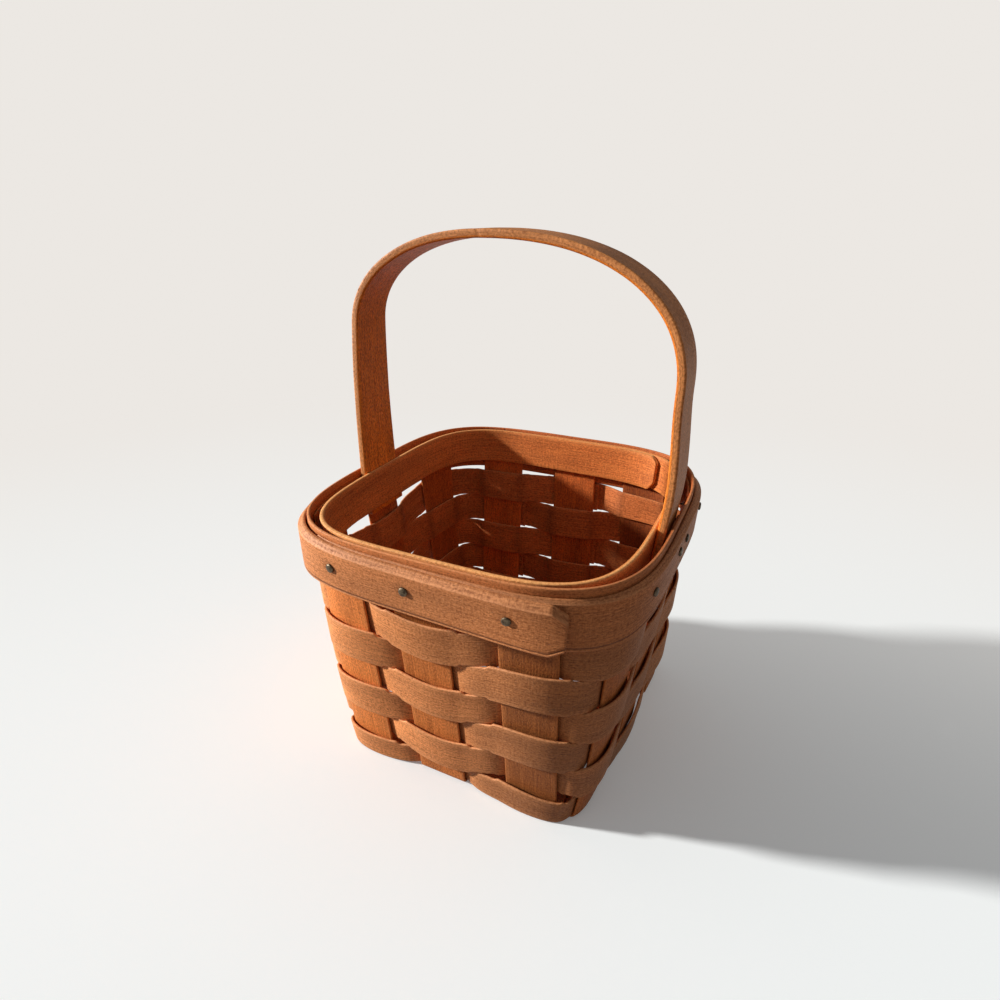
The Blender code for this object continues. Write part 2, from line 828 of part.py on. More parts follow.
def build_inner_band():
    """Inner band with softened edges and a lapped, clipped end."""
    girth, length = inner_band_path()
    total = girth.total
    top_level = RIM_HEIGHT - INNER_BAND_DROP

    def locate(d):
        inward = inner_band_inward(d, total) + inner_band_thickness(d)
        return inner_band_point(girth.angle_at(d), top_level, inward)

    stations = path_stations(length, locate, PATH_TOLERANCE)
    stations = [d for d in stations if d < length - INNER_BAND_CORNER - MM]
    stations += [length - INNER_BAND_CORNER, length - INNER_BAND_CORNER * 0.5, length]
    outer = []
    inner = []
    for d in stations:
        angle = girth.angle_at(d)
        near = inner_band_inward(d, total)
        thick = inner_band_thickness(d)
        clip = max(0.0, 1.0 - (length - d) / INNER_BAND_CORNER)
        top = top_level - clip * INNER_BAND_CORNER_DROP
        foot = top_level - INNER_BAND_HEIGHT + clip * INNER_BAND_CORNER_RISE
        bevel = INNER_BAND_BEVEL
        lip = near + thick * (1.0 - INNER_BAND_BEVEL_SHARE)
        far = near + thick
        outer.append([
            inner_band_point(angle, top, near),
            inner_band_point(angle, top - bevel, near),
            inner_band_point(angle, foot + bevel, near),
            inner_band_point(angle, foot, near),
        ])
        inner.append([
            inner_band_point(angle, top, lip),
            inner_band_point(angle, top - bevel, far),
            inner_band_point(angle, foot + bevel, far),
            inner_band_point(angle, foot, lip),
        ])
    origin = Vector((0.0, 0.0, top_level))
    return slab("inner_band", outer, inner, inner_band_material(), origin)


def handle_rise_share(z):
    """Share of the way from the rim to the top of the handle."""
    return min(max((z - RIM_HEIGHT) / HANDLE_RISE, 0.0), 1.0)


def handle_back(foot_back, z):
    """Place from front to back of the middle of the handle at one height."""
    return foot_back + (HANDLE_TOP_BACK - foot_back) * handle_rise_share(z)


def handle_side(side, bulge, rise, fullness):
    """Middle line of half the handle, from its foot to the top."""
    line = []
    reach = RIM_HALF + bulge
    shoulder = RIM_HEIGHT + rise
    foot_end = RIM_HEIGHT - HANDLE_FOOT_DEPTH
    foot_back = LEFT_MIDDLE if side < 0.0 else RIGHT_MIDDLE
    straight = RIM_HEIGHT + HANDLE_STRAIGHT
    seat_out = HANDLE_THICKNESS / 2.0
    lean = (RIM_HALF - BASE_HALF) / RIM_HEIGHT
    x0 = handle_seat(straight) - seat_out
    for k in range(HANDLE_FOOT_STEPS):
        z = foot_end + (straight - foot_end) * k / HANDLE_FOOT_STEPS
        line.append((side * (handle_seat(z) - seat_out), z))
    span = shoulder - straight
    for k in range(HANDLE_RISE_STEPS):
        t = k / HANDLE_RISE_STEPS
        x = (2 * t ** 3 - 3 * t ** 2 + 1) * x0
        x += (t ** 3 - 2 * t ** 2 + t) * lean * span
        x += (3 * t ** 2 - 2 * t ** 3) * reach
        line.append((side * x, straight + span * t))
    crown = RIM_HEIGHT + HANDLE_RISE - seat_out
    across = reach - side * HANDLE_TOP_SHIFT
    for k in range(HANDLE_ARC_STEPS):
        turn = pi / 2.0 * k / HANDLE_ARC_STEPS
        x = HANDLE_TOP_SHIFT + side * across * cos(turn) ** (2.0 / fullness)
        z = shoulder + (crown - shoulder) * sin(turn) ** (2.0 / fullness)
        line.append((x, z))
    return [(x, handle_back(foot_back, z), z) for x, z in line]


def handle_line():
    """Middle line of the whole handle, right foot to left foot."""
    right = handle_side(1.0, HANDLE_RIGHT_BULGE, HANDLE_RIGHT_SHOULDER, HANDLE_RIGHT_FULLNESS)
    left = handle_side(-1.0, HANDLE_LEFT_BULGE, HANDLE_LEFT_SHOULDER, HANDLE_LEFT_FULLNESS)
    crown = RIM_HEIGHT + HANDLE_RISE - HANDLE_THICKNESS / 2.0
    return right + [(HANDLE_TOP_SHIFT, HANDLE_TOP_BACK, crown)] + list(reversed(left))


def build_handle():
    """Fixed handle bent from one flat strip."""
    line = handle_line()
    outer = []
    inner = []
    half_thick = HANDLE_THICKNESS / 2.0
    soft = HANDLE_EDGE_ROUND
    for k, (x, middle_y, z) in enumerate(line):
        ahead = line[min(k + 1, len(line) - 1)]
        behind = line[max(k - 1, 0)]
        run_x = ahead[0] - behind[0]
        run_z = ahead[2] - behind[2]
        size = hypot(run_x, run_z)
        nx = run_z / size
        nz = -run_x / size
        width = HANDLE_FOOT_WIDTH + (HANDLE_TOP_WIDTH - HANDLE_FOOT_WIDTH) * handle_rise_share(z)
        row_out = []
        row_in = []
        for across, depth in (
            (-width / 2.0, half_thick - soft),
            (-width / 2.0 + soft, half_thick),
            (width / 2.0 - soft, half_thick),
            (width / 2.0, half_thick - soft),
        ):
            y = middle_y + across
            row_out.append(Vector((x + nx * depth, y, z + nz * depth)))
            row_in.append(Vector((x - nx * depth, y, z - nz * depth)))
        outer.append(row_out)
        inner.append(row_in)
    origin = Vector((0.0, 0.0, RIM_HEIGHT))
    return slab("handle", outer, inner, handle_material(), origin)


def tack_height():
    """Height of the tacks."""
    return RIM_HEIGHT - TACK_DROP


def tack_places():
    """Plan places for the tacks: one to an upright, two to a handle foot."""
    feet = (("right", RIGHT_MIDDLE), ("left", LEFT_MIDDLE))
    spots = []
    for side, across in upright_places():
        if (side, across) in feet:
            for shift in (-HANDLE_TACK_SPREAD, HANDLE_TACK_SPREAD):
                spots.append((side, across + shift))
        elif across in (FRONT_MIDDLE, BACK_MIDDLE):
            spots.append((side, across))
        else:
            spots.append((side, across - copysign(TACK_INSET, across)))
    return spots


def tack_axis(place):
    """Seat on the outer band, and outward direction, of one tack."""
    girth, length = outer_band_path()
    x, y = upright_plan(place, tack_height())
    angle = atan2(y, x)
    d = girth.distance_at(x, y)
    if d < length - girth.total:
        d += girth.total
    offset = outer_band_inner(d, girth.total) + outer_band_thickness(d)
    seat = wall_point(angle, tack_height(), offset)
    inside = wall_point(angle, tack_height(), 0.0)
    away = Vector((seat.x - inside.x, seat.y - inside.y, 0.0)).normalized()
    return seat, away


def tack_length(seat, away):
    """Reach of a tack from the outer band to the inside of the inner band."""
    girth, length = inner_band_path()
    angle = atan2(seat.y, seat.x)
    d = girth.distance_at(seat.x, seat.y)
    if d < length - girth.total:
        d += girth.total
    depth = inner_band_inward(d, girth.total) + inner_band_thickness(d)
    face = inner_band_point(angle, tack_height(), depth)
    return (seat - face).dot(away)


def turned_points(profile, seat, away):
    """Points of a turned shape whose axis runs along one direction."""
    up = Vector((0.0, 0.0, 1.0))
    side = away.cross(up).normalized()
    rings = []
    for along, radius in profile:
        ring = []
        for k in range(TACK_SIDES):
            turn = 2.0 * pi * k / TACK_SIDES
            spoke = side * (radius * cos(turn)) + up * (radius * sin(turn))
            ring.append(seat + away * along + spoke)
        rings.append(ring)
    return rings


def turned_faces(count, shift):
    """Faces of a closed turned shape with flat ends."""
    faces = []
    for r in range(count - 1):
        ring = shift + r * TACK_SIDES
        for k in range(TACK_SIDES):
            a = ring + k
            b = ring + (k + 1) % TACK_SIDES
            faces.append((a, b, b + TACK_SIDES, a + TACK_SIDES))
    last = shift + (count - 1) * TACK_SIDES
    faces.append(tuple(shift + k for k in reversed(range(TACK_SIDES))))
    faces.append(tuple(last + k for k in range(TACK_SIDES)))
    return faces


def build_tack(index, place):
    """One tack, its head clear of the outer band."""
    seat, away = tack_axis(place)
    reach = tack_length(seat, away)
    point = reach + GAP
    profile = [
        (-point, TACK_SHANK_RADIUS * TACK_POINT_SHARE),
        (-point + TACK_POINT, TACK_SHANK_RADIUS),
        (GAP, TACK_SHANK_RADIUS),
        (GAP, TACK_HEAD_RADIUS * TACK_SEAT_SHARE),
        (GAP + TACK_HEAD_HEIGHT * TACK_SIDE_SHARE, TACK_HEAD_RADIUS),
        (GAP + TACK_HEAD_HEIGHT, TACK_HEAD_RADIUS * TACK_CROWN_SHARE),
    ]
    rings = turned_points(profile, seat, away)
    points = [p for ring in rings for p in ring]
    faces = turned_faces(len(rings), 0)
    return solid_object(f"tack_{index + 1:02d}", points, faces, tack_material(index), seat)


def build_tack_holes():
    """Cutter with one rod for every tack."""
    radius = TACK_SHANK_RADIUS + TACK_HOLE_CLEARANCE
    points = []
    faces = []
    for place in tack_places():
        seat, away = tack_axis(place)
        reach = tack_length(seat, away) + TACK_HOLE_EXTRA
        rings = turned_points([(-reach, radius), (TACK_HOLE_EXTRA, radius)], seat, away)
        faces += turned_faces(len(rings), len(points))
        points += [p for ring in rings for p in ring]
    material = plain_material("tack_hole_marker", 0.3, 0.3, 0.3, 0.5, 0.0)
    cutter = solid_object("tack_holes", points, faces, material, Vector((0.0, 0.0, 0.0)))
    cutter.hide_render = True
    cutter.display_type = 'WIRE'
    return cutter


def drill(item, cutter):
    """Cut the tack holes through one piece."""
    cut = item.modifiers.new("tack_holes", 'BOOLEAN')
    cut.operation = 'DIFFERENCE'
    cut.solver = 'EXACT'
    cut.object = cutter


def main():
    """Build the whole basket."""
    clear_scene()
    cutter = build_tack_holes()
    pieces = []
    for lengthwise in (True, False):
        for index in range(len(splint_ends(lengthwise)[0])):
            pieces.append(build_long_splint(index, lengthwise))
    for row in range(WEAVER_ROWS):
        build_weaver(row)
    pieces.append(build_top_strip())
    pieces.append(build_outer_band())
    pieces.append(build_inner_band())
    pieces.append(build_handle())
    for item in pieces:
        drill(item, cutter)
    for index, place in enumerate(tack_places()):
        build_tack(index, place)


main()
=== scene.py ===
"""Dresses the packed square basket: split wood strips, bent bands, a handle and tacks.

Every strip is laid out as a sheet of places that follows its route through the basket.
A node tree turns each sheet into a closed strip, and another drives the tacks.
Lengths are in metres, z is up, and the basket stands on z = 0.
"""
from functools import partial
from math import atan2, copysign, cos, pi, radians, sin

import bpy
import numpy as np
from mathutils import Matrix, Vector


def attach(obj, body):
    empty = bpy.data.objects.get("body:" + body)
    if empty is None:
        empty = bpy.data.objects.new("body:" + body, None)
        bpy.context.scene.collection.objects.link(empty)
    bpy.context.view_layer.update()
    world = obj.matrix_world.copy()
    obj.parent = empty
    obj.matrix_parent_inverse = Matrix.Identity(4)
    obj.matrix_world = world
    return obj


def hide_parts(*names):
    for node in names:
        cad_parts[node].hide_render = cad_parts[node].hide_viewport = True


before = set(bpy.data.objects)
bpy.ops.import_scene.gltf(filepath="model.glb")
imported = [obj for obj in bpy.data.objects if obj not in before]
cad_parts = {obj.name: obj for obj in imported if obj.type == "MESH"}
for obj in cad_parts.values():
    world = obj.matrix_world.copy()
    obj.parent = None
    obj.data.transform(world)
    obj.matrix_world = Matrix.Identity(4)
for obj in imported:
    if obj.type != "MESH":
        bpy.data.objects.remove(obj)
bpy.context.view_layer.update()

bl_info = {
    "name": "Square splint basket",
    "version": (1, 0, 0),
    "blender": (4, 5, 0),
    "location": "3D View > Sidebar > Basket",
    "description": "Dresses the packed square basket with wood strips, tacks and a plain stage",
    "category": "Add Mesh",
}

MM = 0.001
ROOT = "root"
OUTLINE_SAMPLES = 3600

# Distances in from an edge where a strip's or the handle's thickness is set.
EDGE_STEPS = (0.0, 0.10 * MM, 0.26 * MM, 0.5 * MM)
ROUND_STEPS = (0.0, 0.06 * MM, 0.24 * MM, 0.5 * MM, 0.9 * MM)
COLUMN_SPACING = 1.6 * MM

# Radius of a tack's blunt point, the share of its radius that a head has at shares of its
# height, how far the heads lean and turn, and their least and full sizes.
POINT_RADIUS = 0.22 * MM
HEAD_PROFILE = ((0.0, 0.94), (0.34, 1.0), (0.68, 0.95), (1.0, 0.62))
HEAD_LEAN = 0.07
HEAD_TURN = 6.28
HEAD_SIZES = (0.93, 1.0)

# Parts of a bevel's height where the outer band's face is set; its nose ends at the second.
BEVEL_STEPS = (0.0, 0.06, 0.35, 0.7, 0.94)

# The upright behind the basket where a weaver in an even row starts, and the painted shade in the
# recess that a weaver has beside an upright it runs behind, measured in splint widths from the
# upright's middle.
START_UPRIGHT = 7
RECESS_SHADE_PLACE = 0.52
RECESS_SHADE_SPREAD = 0.12

# How much lighter or darker each strip of wood is than its colour, with painted light on the first
# lengthwise splint and painted shade on the third; the painted shade of the inside faces and of the
# handle's underside; and the colours of pores and of bruised wood and painted shade.
SPLINT_TONES_AND_PAINTED_LIGHT = (0.24, -0.02, -0.40, -0.05, 0.06, -0.04)
WEAVER_TONES = (0.04, 0.03, 0.12, -0.03, 0.12, -0.02)
INSIDE_PAINTED_SHADE = (0.75, 0.53, 0.37, 1.0)
HANDLE_PAINTED_SHADE = (1.22, 0.88, 0.30, 1.0)
PORE_COLOUR = (0.36, 0.17, 0.08)
BRUISE_AND_SHADE_COLOUR = (0.30, 0.15, 0.08)

# Repeats in a metre along and across the grain, shift, detail and roughness of each pattern.
WOOD_PATTERNS = {
    "fibres": (55.0, 1700.0, 0.0, 3.0, 0.55),
    "grit": (850.0, 1500.0, 3.1, 3.0, 0.65),
    "checks": (2100.0, 160.0, 7.7, 2.0, 0.6),
    "pores": (420.0, 3000.0, 1.3, 2.0, 0.5),
    "clouds": (16.0, 110.0, 5.9, 3.0, 0.5),
}

# Colours of the even light and of the main lamp.
SKY_COLOUR = (0.96, 0.98, 1.0, 1.0)
LAMP_COLOUR = (1.0, 0.99, 0.975)

# Half size of the floor, and the place before the basket and the distances from
# it between which the floor fades into the backdrop.
FLOOR_REACH = 6.0
FADE_MIDDLE = (0.10, -0.30, 0.0)
FADE_START = 0.20
FADE_END = 0.95


def mm(millimetres, description):
    """A length that a user may change."""
    return number(millimetres * MM, description, subtype='DISTANCE', unit='LENGTH', precision=5)


def number(default, description, **options):
    """A number that a user may change."""
    return partial(bpy.props.FloatProperty, description=description, default=default, **options)


def whole_number(default, description):
    """A whole number that a user may change."""
    return partial(bpy.props.IntProperty, description=description, default=default, min=1)


def degrees(default, description):
    """An angle that a user may change."""
    return number(radians(default), description, subtype='ANGLE')


def vector(default, description, **options):
    """A place, a direction or three measures that a user may change."""
    return partial(
        bpy.props.FloatVectorProperty, description=description, default=default, size=3, **options,
    )


def display_colour(default, description):
    """A display colour that a user may change."""
    return vector(default, description, min=0.0, max=1.0, subtype='COLOR_GAMMA')


def three_places(millimetres):
    """Places across one wall of its three uprights."""
    places = [place * MM for place in millimetres]
    return vector(places, "Middles of the three uprights of this wall", subtype='XYZ', unit='LENGTH')


def named_settings(group):
    """Turn each line of a group into a setting that is named after its key."""
    for key, make in group.__annotations__.items():
        group.__annotations__[key] = make(name=key.replace("_", " ").capitalize())
    return group


@named_settings
class BasketWall(bpy.types.PropertyGroup):
    """Sizes of the leaning wall that every strip follows."""

    rim_height: mm(124.0, "Height of the top of the wall")
    base_half: mm(61.5, "Half width of the wall at the base")
    rim_half: mm(74.7, "Half width of the wall at the rim")
    base_squareness: number(10.0, "High for tight corners at the base")
    rim_squareness: number(3.88, "High for tight corners at the rim")
    squareness_hold: number(1.7, "How far up the tight corners reach")
    back_draw: mm(6.0, "How far the back right foot is drawn out")
    front_draw: mm(-2.6, "How far the front right foot is drawn out")


@named_settings
class BasketSplints(bpy.types.PropertyGroup):
    """Sizes of the six long splints."""

    width: mm(23.5, "Width of a splint")
    thickness: mm(1.2, "Thickness of a splint")
    clearance: mm(0.3, "Room left between crossing strips")
    bend: mm(2.6, "Radius of the turn from base to wall")
    below_rim: mm(4.0, "Distance of the ends below the rim")
    cross_margin: mm(1.4, "Level stretch past a crossing splint")
    # Painted shade on the side turned from the main lamp.
    stain: number(0.32, "Darkness of the wood on the darkest side")
    stain_place: degrees(-25.0, "Where the wood is darkest")
    stain_spread: degrees(50.0, "How far the dark wood reaches each way")
    front: three_places((-44.6, -5.9, 39.5))
    back: three_places((-38.4, 5.4, 45.1))
    left: three_places((-44.6, -3.0, 45.6))
    right: three_places((-45.6, -2.0, 42.5))


@named_settings
class BasketWeavers(bpy.types.PropertyGroup):
    """Sizes of the six weaver hoops."""

    rows: whole_number(6, "Number of weaver hoops")
    gap: mm(0.15, "Room left between two rows")
    thickness: mm(1.2, "Thickness of a weaver")
    pitch: mm(16.4, "Distance from row to row")
    top_centre: mm(88.9, "Height of the middle of the top row")
    top_room: mm(0.3, "Least room under the outer band")
    swing: mm(2.6, "Reach past the middle of the wall at an upright")
    edge_swing: mm(1.8, "Reach at the edges of an upright")
    edge_margin: mm(0.5, "Distance that the reach is held past an edge")
    steepness: number(0.5, "Slope where a weaver comes out from under")
    lap_margin: mm(2.0, "Distance that a lap reaches past its upright")
    lap_ramp: mm(12.0, "Distance over which an end climbs on its start")
    sag: mm(3.0, "How far a row dips in the middle of the front")
    tilt: mm(1.7, "How far a row rises towards the back")
    lift: mm(2.4, "How far a row rides up at the front right")
    lift_place: degrees(-65.0, "Where the lift is full")
    lift_spread: degrees(14.0, "How far the lift reaches each way")
    back_lift: mm(3.0, "How far a row rides up at the back right")
    back_lift_place: degrees(58.0, "Where the back lift is full")
    back_lift_spread: degrees(32.0, "How far it reaches each way")
    overlap: mm(1.0, "How far a row spreads at an upright")
    dip: mm(3.6, "How far a row dips at the front left")
    dip_place: degrees(226.0, "Where the dip is full")
    dip_spread: degrees(20.0, "How far the dip reaches each way")
    dip_foot: mm(40.0, "Height over which the dip fades at the foot")
    # Painted light at the front left corner and painted shade at the front right, where the main
    # lamp falls more and less.
    fading: number(0.30, "How much the wood fades at one corner and darkens at another")
    faded_place: degrees(228.0, "Where the wood is palest")
    faded_spread: degrees(38.0, "How far the pale wood reaches each way")
    dark_place: degrees(308.0, "Where the wood is darkest")
    dark_spread: degrees(32.0, "How far the dark wood reaches each way")
    # Painted shade in the recess beside an upright that a weaver runs behind.
    patina: number(0.34, "Darkness of the wood beside an upright that it runs behind")
    bottom_height: mm(11.3, "Width of the lowest weaver")
    bottom_foot: mm(1.2, "Height of the lowest edge")
    bottom_wander: mm(0.9, "Rise and fall of the lowest row")


@named_settings
class BasketBands(bpy.types.PropertyGroup):
    """Sizes of the top strip, the outer band and the inner band."""

    strip_thickness: mm(1.4, "Thickness of the top strip")
    strip_height: mm(24.0, "Width of the top strip")
    strip_joint: mm(0.1, "Gap where its ends meet")
    outer_height: mm(22.0, "Width of the outer band")
    outer_thickness: mm(3.3, "Full thickness of the outer band")
    outer_start: mm(0.6, "Thickness at its thinned start")
    outer_scarf: mm(200.0, "Length over which it thickens")
    outer_ramp: mm(32.0, "Length over which it climbs on its start")
    outer_bevel: mm(2.3, "Height of its bevelled edges")
    # The dark line is painted shade of a scored crease.
    outer_bevel_share: number(0.66, "Part of the thickness cut by a bevel")
    outer_line: mm(0.9, "Height of a dark line over the lower bevel")
    outer_drop: mm(2.6, "Distance of its top below the rim")
    outer_tilt: number(0.012, "Fall of its top towards the right")
    outer_start_x: mm(-50.0, "Place across the front of its start")
    outer_end_x: mm(53.0, "Place across the front of its end")
    outer_stand: mm(2.0, "How far its free end stands off")
    outer_free: mm(34.0, "Length of its free end")
    outer_corner: mm(4.6, "Length of its clipped corners")
    outer_corner_drop: mm(3.4, "Height of its clipped corners")
    inner_height: mm(18.0, "Width of the inner band")
    inner_thickness: mm(2.0, "Full thickness of the inner band")
    inner_start: mm(0.7, "Thickness at its thinned start")
    inner_scarf: mm(110.0, "Length over which it thickens")
    inner_ramp: mm(30.0, "Length over which it climbs on its start")
    inner_drop: mm(0.5, "Distance of its top below the rim")
    inner_squareness: number(4.1, "High for tight corners")
    inner_start_x: mm(-12.0, "Place across the back of its start")
    inner_end_x: mm(54.5, "Place across the back of its end")
    inner_corner: mm(4.5, "Length of its clipped corners")
    inner_corner_drop: mm(3.0, "Height of its upper corner")
    inner_corner_rise: mm(5.0, "Height of its lower corner")


@named_settings
class BasketHandle(bpy.types.PropertyGroup):
    """Sizes of the bent handle."""

    thickness: mm(3.5, "Thickness of the strip")
    foot_width: mm(25.4, "Width of the strip at its feet")
    top_width: mm(20.5, "Width of the strip at the top")
    edge_round: mm(0.8, "Radius of the softened edges")
    foot_end: mm(101.5, "Height of the ends of the feet")
    top: mm(231.8, "Height of the top")
    top_shift: mm(-15.4, "Place across the basket of the top")
    top_back: mm(11.1, "Place from front to back of the top")
    straight: mm(6.0, "Height over the rim that the feet run straight")
    left_reach: mm(76.6, "Reach of the left side")
    left_shoulder: mm(192.3, "Height where the left side turns in")
    left_fullness: number(2.11, "Two for an ellipse, more for a fuller bend")
    right_reach: mm(71.5, "Reach of the right side")
    right_shoulder: mm(175.1, "Height where the right side turns in")
    right_fullness: number(2.29, "Two for an ellipse, more for a fuller bend")


@named_settings
class BasketTacks(bpy.types.PropertyGroup):
    """Sizes and places of the tacks."""

    height: mm(112.4, "Height of the tacks")
    head_radius: mm(2.0, "Radius of a head")
    head_height: mm(0.9, "Thickness of a head")
    shank_radius: mm(0.6, "Radius of a shank")
    spread: mm(6.5, "Half distance of the two tacks in a handle foot")
    inset: mm(4.5, "Shift of a tack from the middle of its upright")
    seed: whole_number(7, "Seed of the uneven heads")


@named_settings
class BasketFinish(bpy.types.PropertyGroup):
    """Colours of the wood and the metal."""

    splint: display_colour((0.82, 0.50, 0.26), "Wood of the long splints")
    weaver: display_colour((0.82, 0.55, 0.345), "Wood of the weavers")
    top_strip: display_colour((0.80, 0.50, 0.29), "Wood of the top strip")
    outer_band: display_colour((0.82, 0.545, 0.345), "Wood of the outer band")
    inner_band: display_colour((0.92, 0.62, 0.36), "Wood of the inner band")
    handle: display_colour((0.775, 0.51, 0.29), "Wood of the handle")
    metal: display_colour((0.46, 0.40, 0.32), "Dull metal of the tacks")


@named_settings
class BasketStage(bpy.types.PropertyGroup):
    """Floor, background, lamps and camera."""

    floor: display_colour((0.970, 0.985, 0.985), "Colour of the floor")
    bounce: display_colour((0.50, 0.36, 0.24), "Colour of the floor's light on the basket")
    haze: display_colour((0.34, 0.335, 0.33), "Pale veil over the floor where the camera looks")
    backdrop: display_colour((0.925, 0.909, 0.890), "Colour behind the floor")
    key_strength: number(5.4, "Strength of the main lamp")
    key_turn: degrees(18.0, "Angle of the main lamp forward of the left side")
    key_height: degrees(20.0, "Angle of the main lamp above the floor")
    key_softness: degrees(4.5, "Angle that the main lamp fills")
    fill_strength: number(0.25, "Strength of the even light")
    lens: number(22.107, "Focal length of the camera", unit='CAMERA')
    camera_place: vector(
        (0.10894, -0.2349, 0.2360), "Where the camera stands", subtype='XYZ', unit='LENGTH',
    )
    camera_right: vector(
        (0.8998, 0.4362, -0.0076), "Direction to the right of the picture", subtype='DIRECTION',
    )
    camera_up: vector(
        (-0.1766, 0.3802, 0.9079), "Direction to the top of the picture", subtype='DIRECTION',
    )


def smooth_step(value):
    """Ease from nought to one."""
    value = np.clip(value, 0.0, 1.0)
    return value * value * (3.0 - 2.0 * value)


def bridge(t, start, leaving, end, arriving):
    """Curve from one value to another, with the slopes that it leaves and arrives at."""
    value = (2 * t ** 3 - 3 * t ** 2 + 1) * start + (t ** 3 - 2 * t ** 2 + t) * leaving
    return value + (3 * t ** 2 - 2 * t ** 3) * end + (t ** 3 - t ** 2) * arriving


def half_size(wall, z):
    """Half width of the wall at a height."""
    return wall.base_half + (wall.rim_half - wall.base_half) * z / wall.rim_height


def squareness(wall, z):
    """Exponent of the plan outline at a height."""
    share = np.clip(z / wall.rim_height, 0.0, 1.0) ** wall.squareness_hold
    low = 1.0 / wall.base_squareness
    high = 1.0 / wall.rim_squareness
    return 1.0 / (low + (high - low) * share)


def outline_reach(across, half_across, half_out, power):
    """Distance from the middle to a squarish outline, at a place across it."""
    part = np.minimum(np.abs(across) / half_across, 0.9999)
    return half_out * (1.0 - part ** power) ** (1.0 / power)


def wall_reach(wall, across, z):
    """Distance from the middle to a wall, at a place across that wall."""
    half = half_size(wall, z)
    return outline_reach(across, half, half, squareness(wall, z))


def plan_points(angle, half_x, half_y, power):
    """Points and outward directions on a squarish outline, by polar angle."""
    c = np.cos(angle)
    s = np.sin(angle)
    radius = (np.abs(c / half_x) ** power + np.abs(s / half_y) ** power) ** (-1.0 / power)
    x = radius * c
    y = radius * s
    nx = np.copysign(np.abs(x / half_x) ** (power - 1.0) / half_x, x)
    ny = np.copysign(np.abs(y / half_y) ** (power - 1.0) / half_y, y)
    size = np.hypot(nx, ny)
    return x, y, nx / size, ny / size


def drawn_out(wall, x, y, z):
    """Points moved sideways by the two drawn corners of the base."""
    half = half_size(wall, z)
    right = 0.5 + 0.5 * x / half
    back = 0.5 + 0.5 * y / half
    out = wall.back_draw * right * back ** 2
    out = out + wall.front_draw * right ** 3 * (1.0 - back) ** 2
    level = z + 0.0 * x
    return np.stack((x + out * (1.0 - level / wall.rim_height), y, level), axis=-1)


def wall_points(wall, angle, z, offset):
    """Points on the wall, moved out by an offset."""
    half = half_size(wall, z)
    x, y, nx, ny = plan_points(angle, half, half, squareness(wall, z))
    return drawn_out(wall, x + nx * offset, y + ny * offset, z)


def walked(points):
    """Distance walked along a line at each of its points."""
    steps = np.linalg.norm(np.diff(points, axis=0), axis=-1)
    return np.concatenate(([0.0], np.cumsum(steps)))


class Outline:
    """A closed plan outline walked by distance from a starting angle."""

    def __init__(self, start, half_x, half_y, power, turn=1.0):
        self.start = start
        self.turn = turn
        self.sweep = np.linspace(0.0, 2.0 * pi, OUTLINE_SAMPLES + 1)
        x, y, _, _ = plan_points(start + turn * self.sweep, half_x, half_y, power)
        self.lengths = walked(np.stack((x, y), axis=-1))
        self.total = self.lengths[-1]

    def angle_at(self, distance):
        """Polar angle after walking a distance, more than one turn allowed."""
        rest = np.mod(distance, self.total)
        return self.start + self.turn * np.interp(rest, self.lengths, self.sweep)

    def distance_at(self, x, y):
        """Distance walked to the place on the outline in one direction."""
        swept = ((atan2(y, x) - self.start) * self.turn) % (2.0 * pi)
        return float(np.interp(swept, self.sweep, self.lengths))


def upright_places(splints):
    """Plan places of the twelve uprights, anticlockwise from the front left."""
    walls = (("front", 1), ("right", 1), ("back", -1), ("left", -1))
    return [(side, across) for side, way in walls for across in list(getattr(splints, side))[::way]]


def upright_plan(wall, place, z):
    """Plan point of one upright's middle at a height."""
    side, across = place
    reach = float(wall_reach(wall, across, z))
    return {
        "front": (across, -reach),
        "right": (reach, across),
        "back": (across, reach),
        "left": (-reach, across),
    }[side]


def edge_ease(distance, ease, least):
    """Share of the thickness left at a distance from an edge."""
    rest = 1.0 - np.clip(distance / ease, 0.0, 1.0)
    return least + (1.0 - least) * np.sqrt(1.0 - rest * rest)


def spaced_columns(width, spacing, steps=EDGE_STEPS):
    """Places across a strip, close together at both edges."""
    count = max(int(round((width - 2.0 * steps[-1]) / spacing)), 1)
    middle = np.linspace(steps[-1], width - steps[-1], count + 1)
    return np.concatenate((steps[:-1], middle, [width - s for s in reversed(steps[:-1])]))


class Sheet:
    """Places of one strip: its two faces, its own measure and the marks on it."""

    def __init__(self, front, back, run, across, tone=0.0):
        shape = front.shape[:2]
        self.front = front
        self.back = back
        self.run = np.broadcast_to(np.asarray(run)[:, None], shape)
        self.across = np.broadcast_to(np.asarray(across), shape)
        # The tone and bruise marks also carry painted light and shade.
        self.tone = np.full(shape, tone)
        self.worn = np.zeros(shape)
        self.bruise = np.zeros(shape)

    def from_ends(self):
        """Distance of each place from the nearer end."""
        return np.minimum(self.run - self.run.min(), self.run.max() - self.run)

    def thin(self, share):
        """Draw both faces in towards the middle."""
        middle = (self.front + self.back) / 2.0
        self.front = middle + (self.front - middle) * share[..., None]
        self.back = middle + (self.back - middle) * share[..., None]

    def soften_edges(self, ease=0.4 * MM, least=0.35, worn_reach=0.9 * MM):
        """Thin the strip towards its ends and edges, and wear the edges."""
        low = self.across - self.across.min(axis=1, keepdims=True)
        side = np.minimum(low, low.max(axis=1, keepdims=True) - low)
        self.worn = np.exp(-side / worn_reach)
        self.thin(edge_ease(side, ease, least) * edge_ease(self.from_ends(), ease, least))


def set_attribute(mesh, label, values):
    """Store one number or vector for each point of a mesh."""
    values = np.asarray(values, dtype=np.float32)
    kind, key = ('FLOAT', "value") if values.ndim == 1 else ('FLOAT_VECTOR', "vector")
    mesh.attributes.new(label, kind, 'POINT').data.foreach_set(key, values.reshape(-1))


def add_object(name, data):
    """Put new data into the scene."""
    item = bpy.data.objects.new(name, data)
    bpy.context.scene.collection.objects.link(item)
    return item


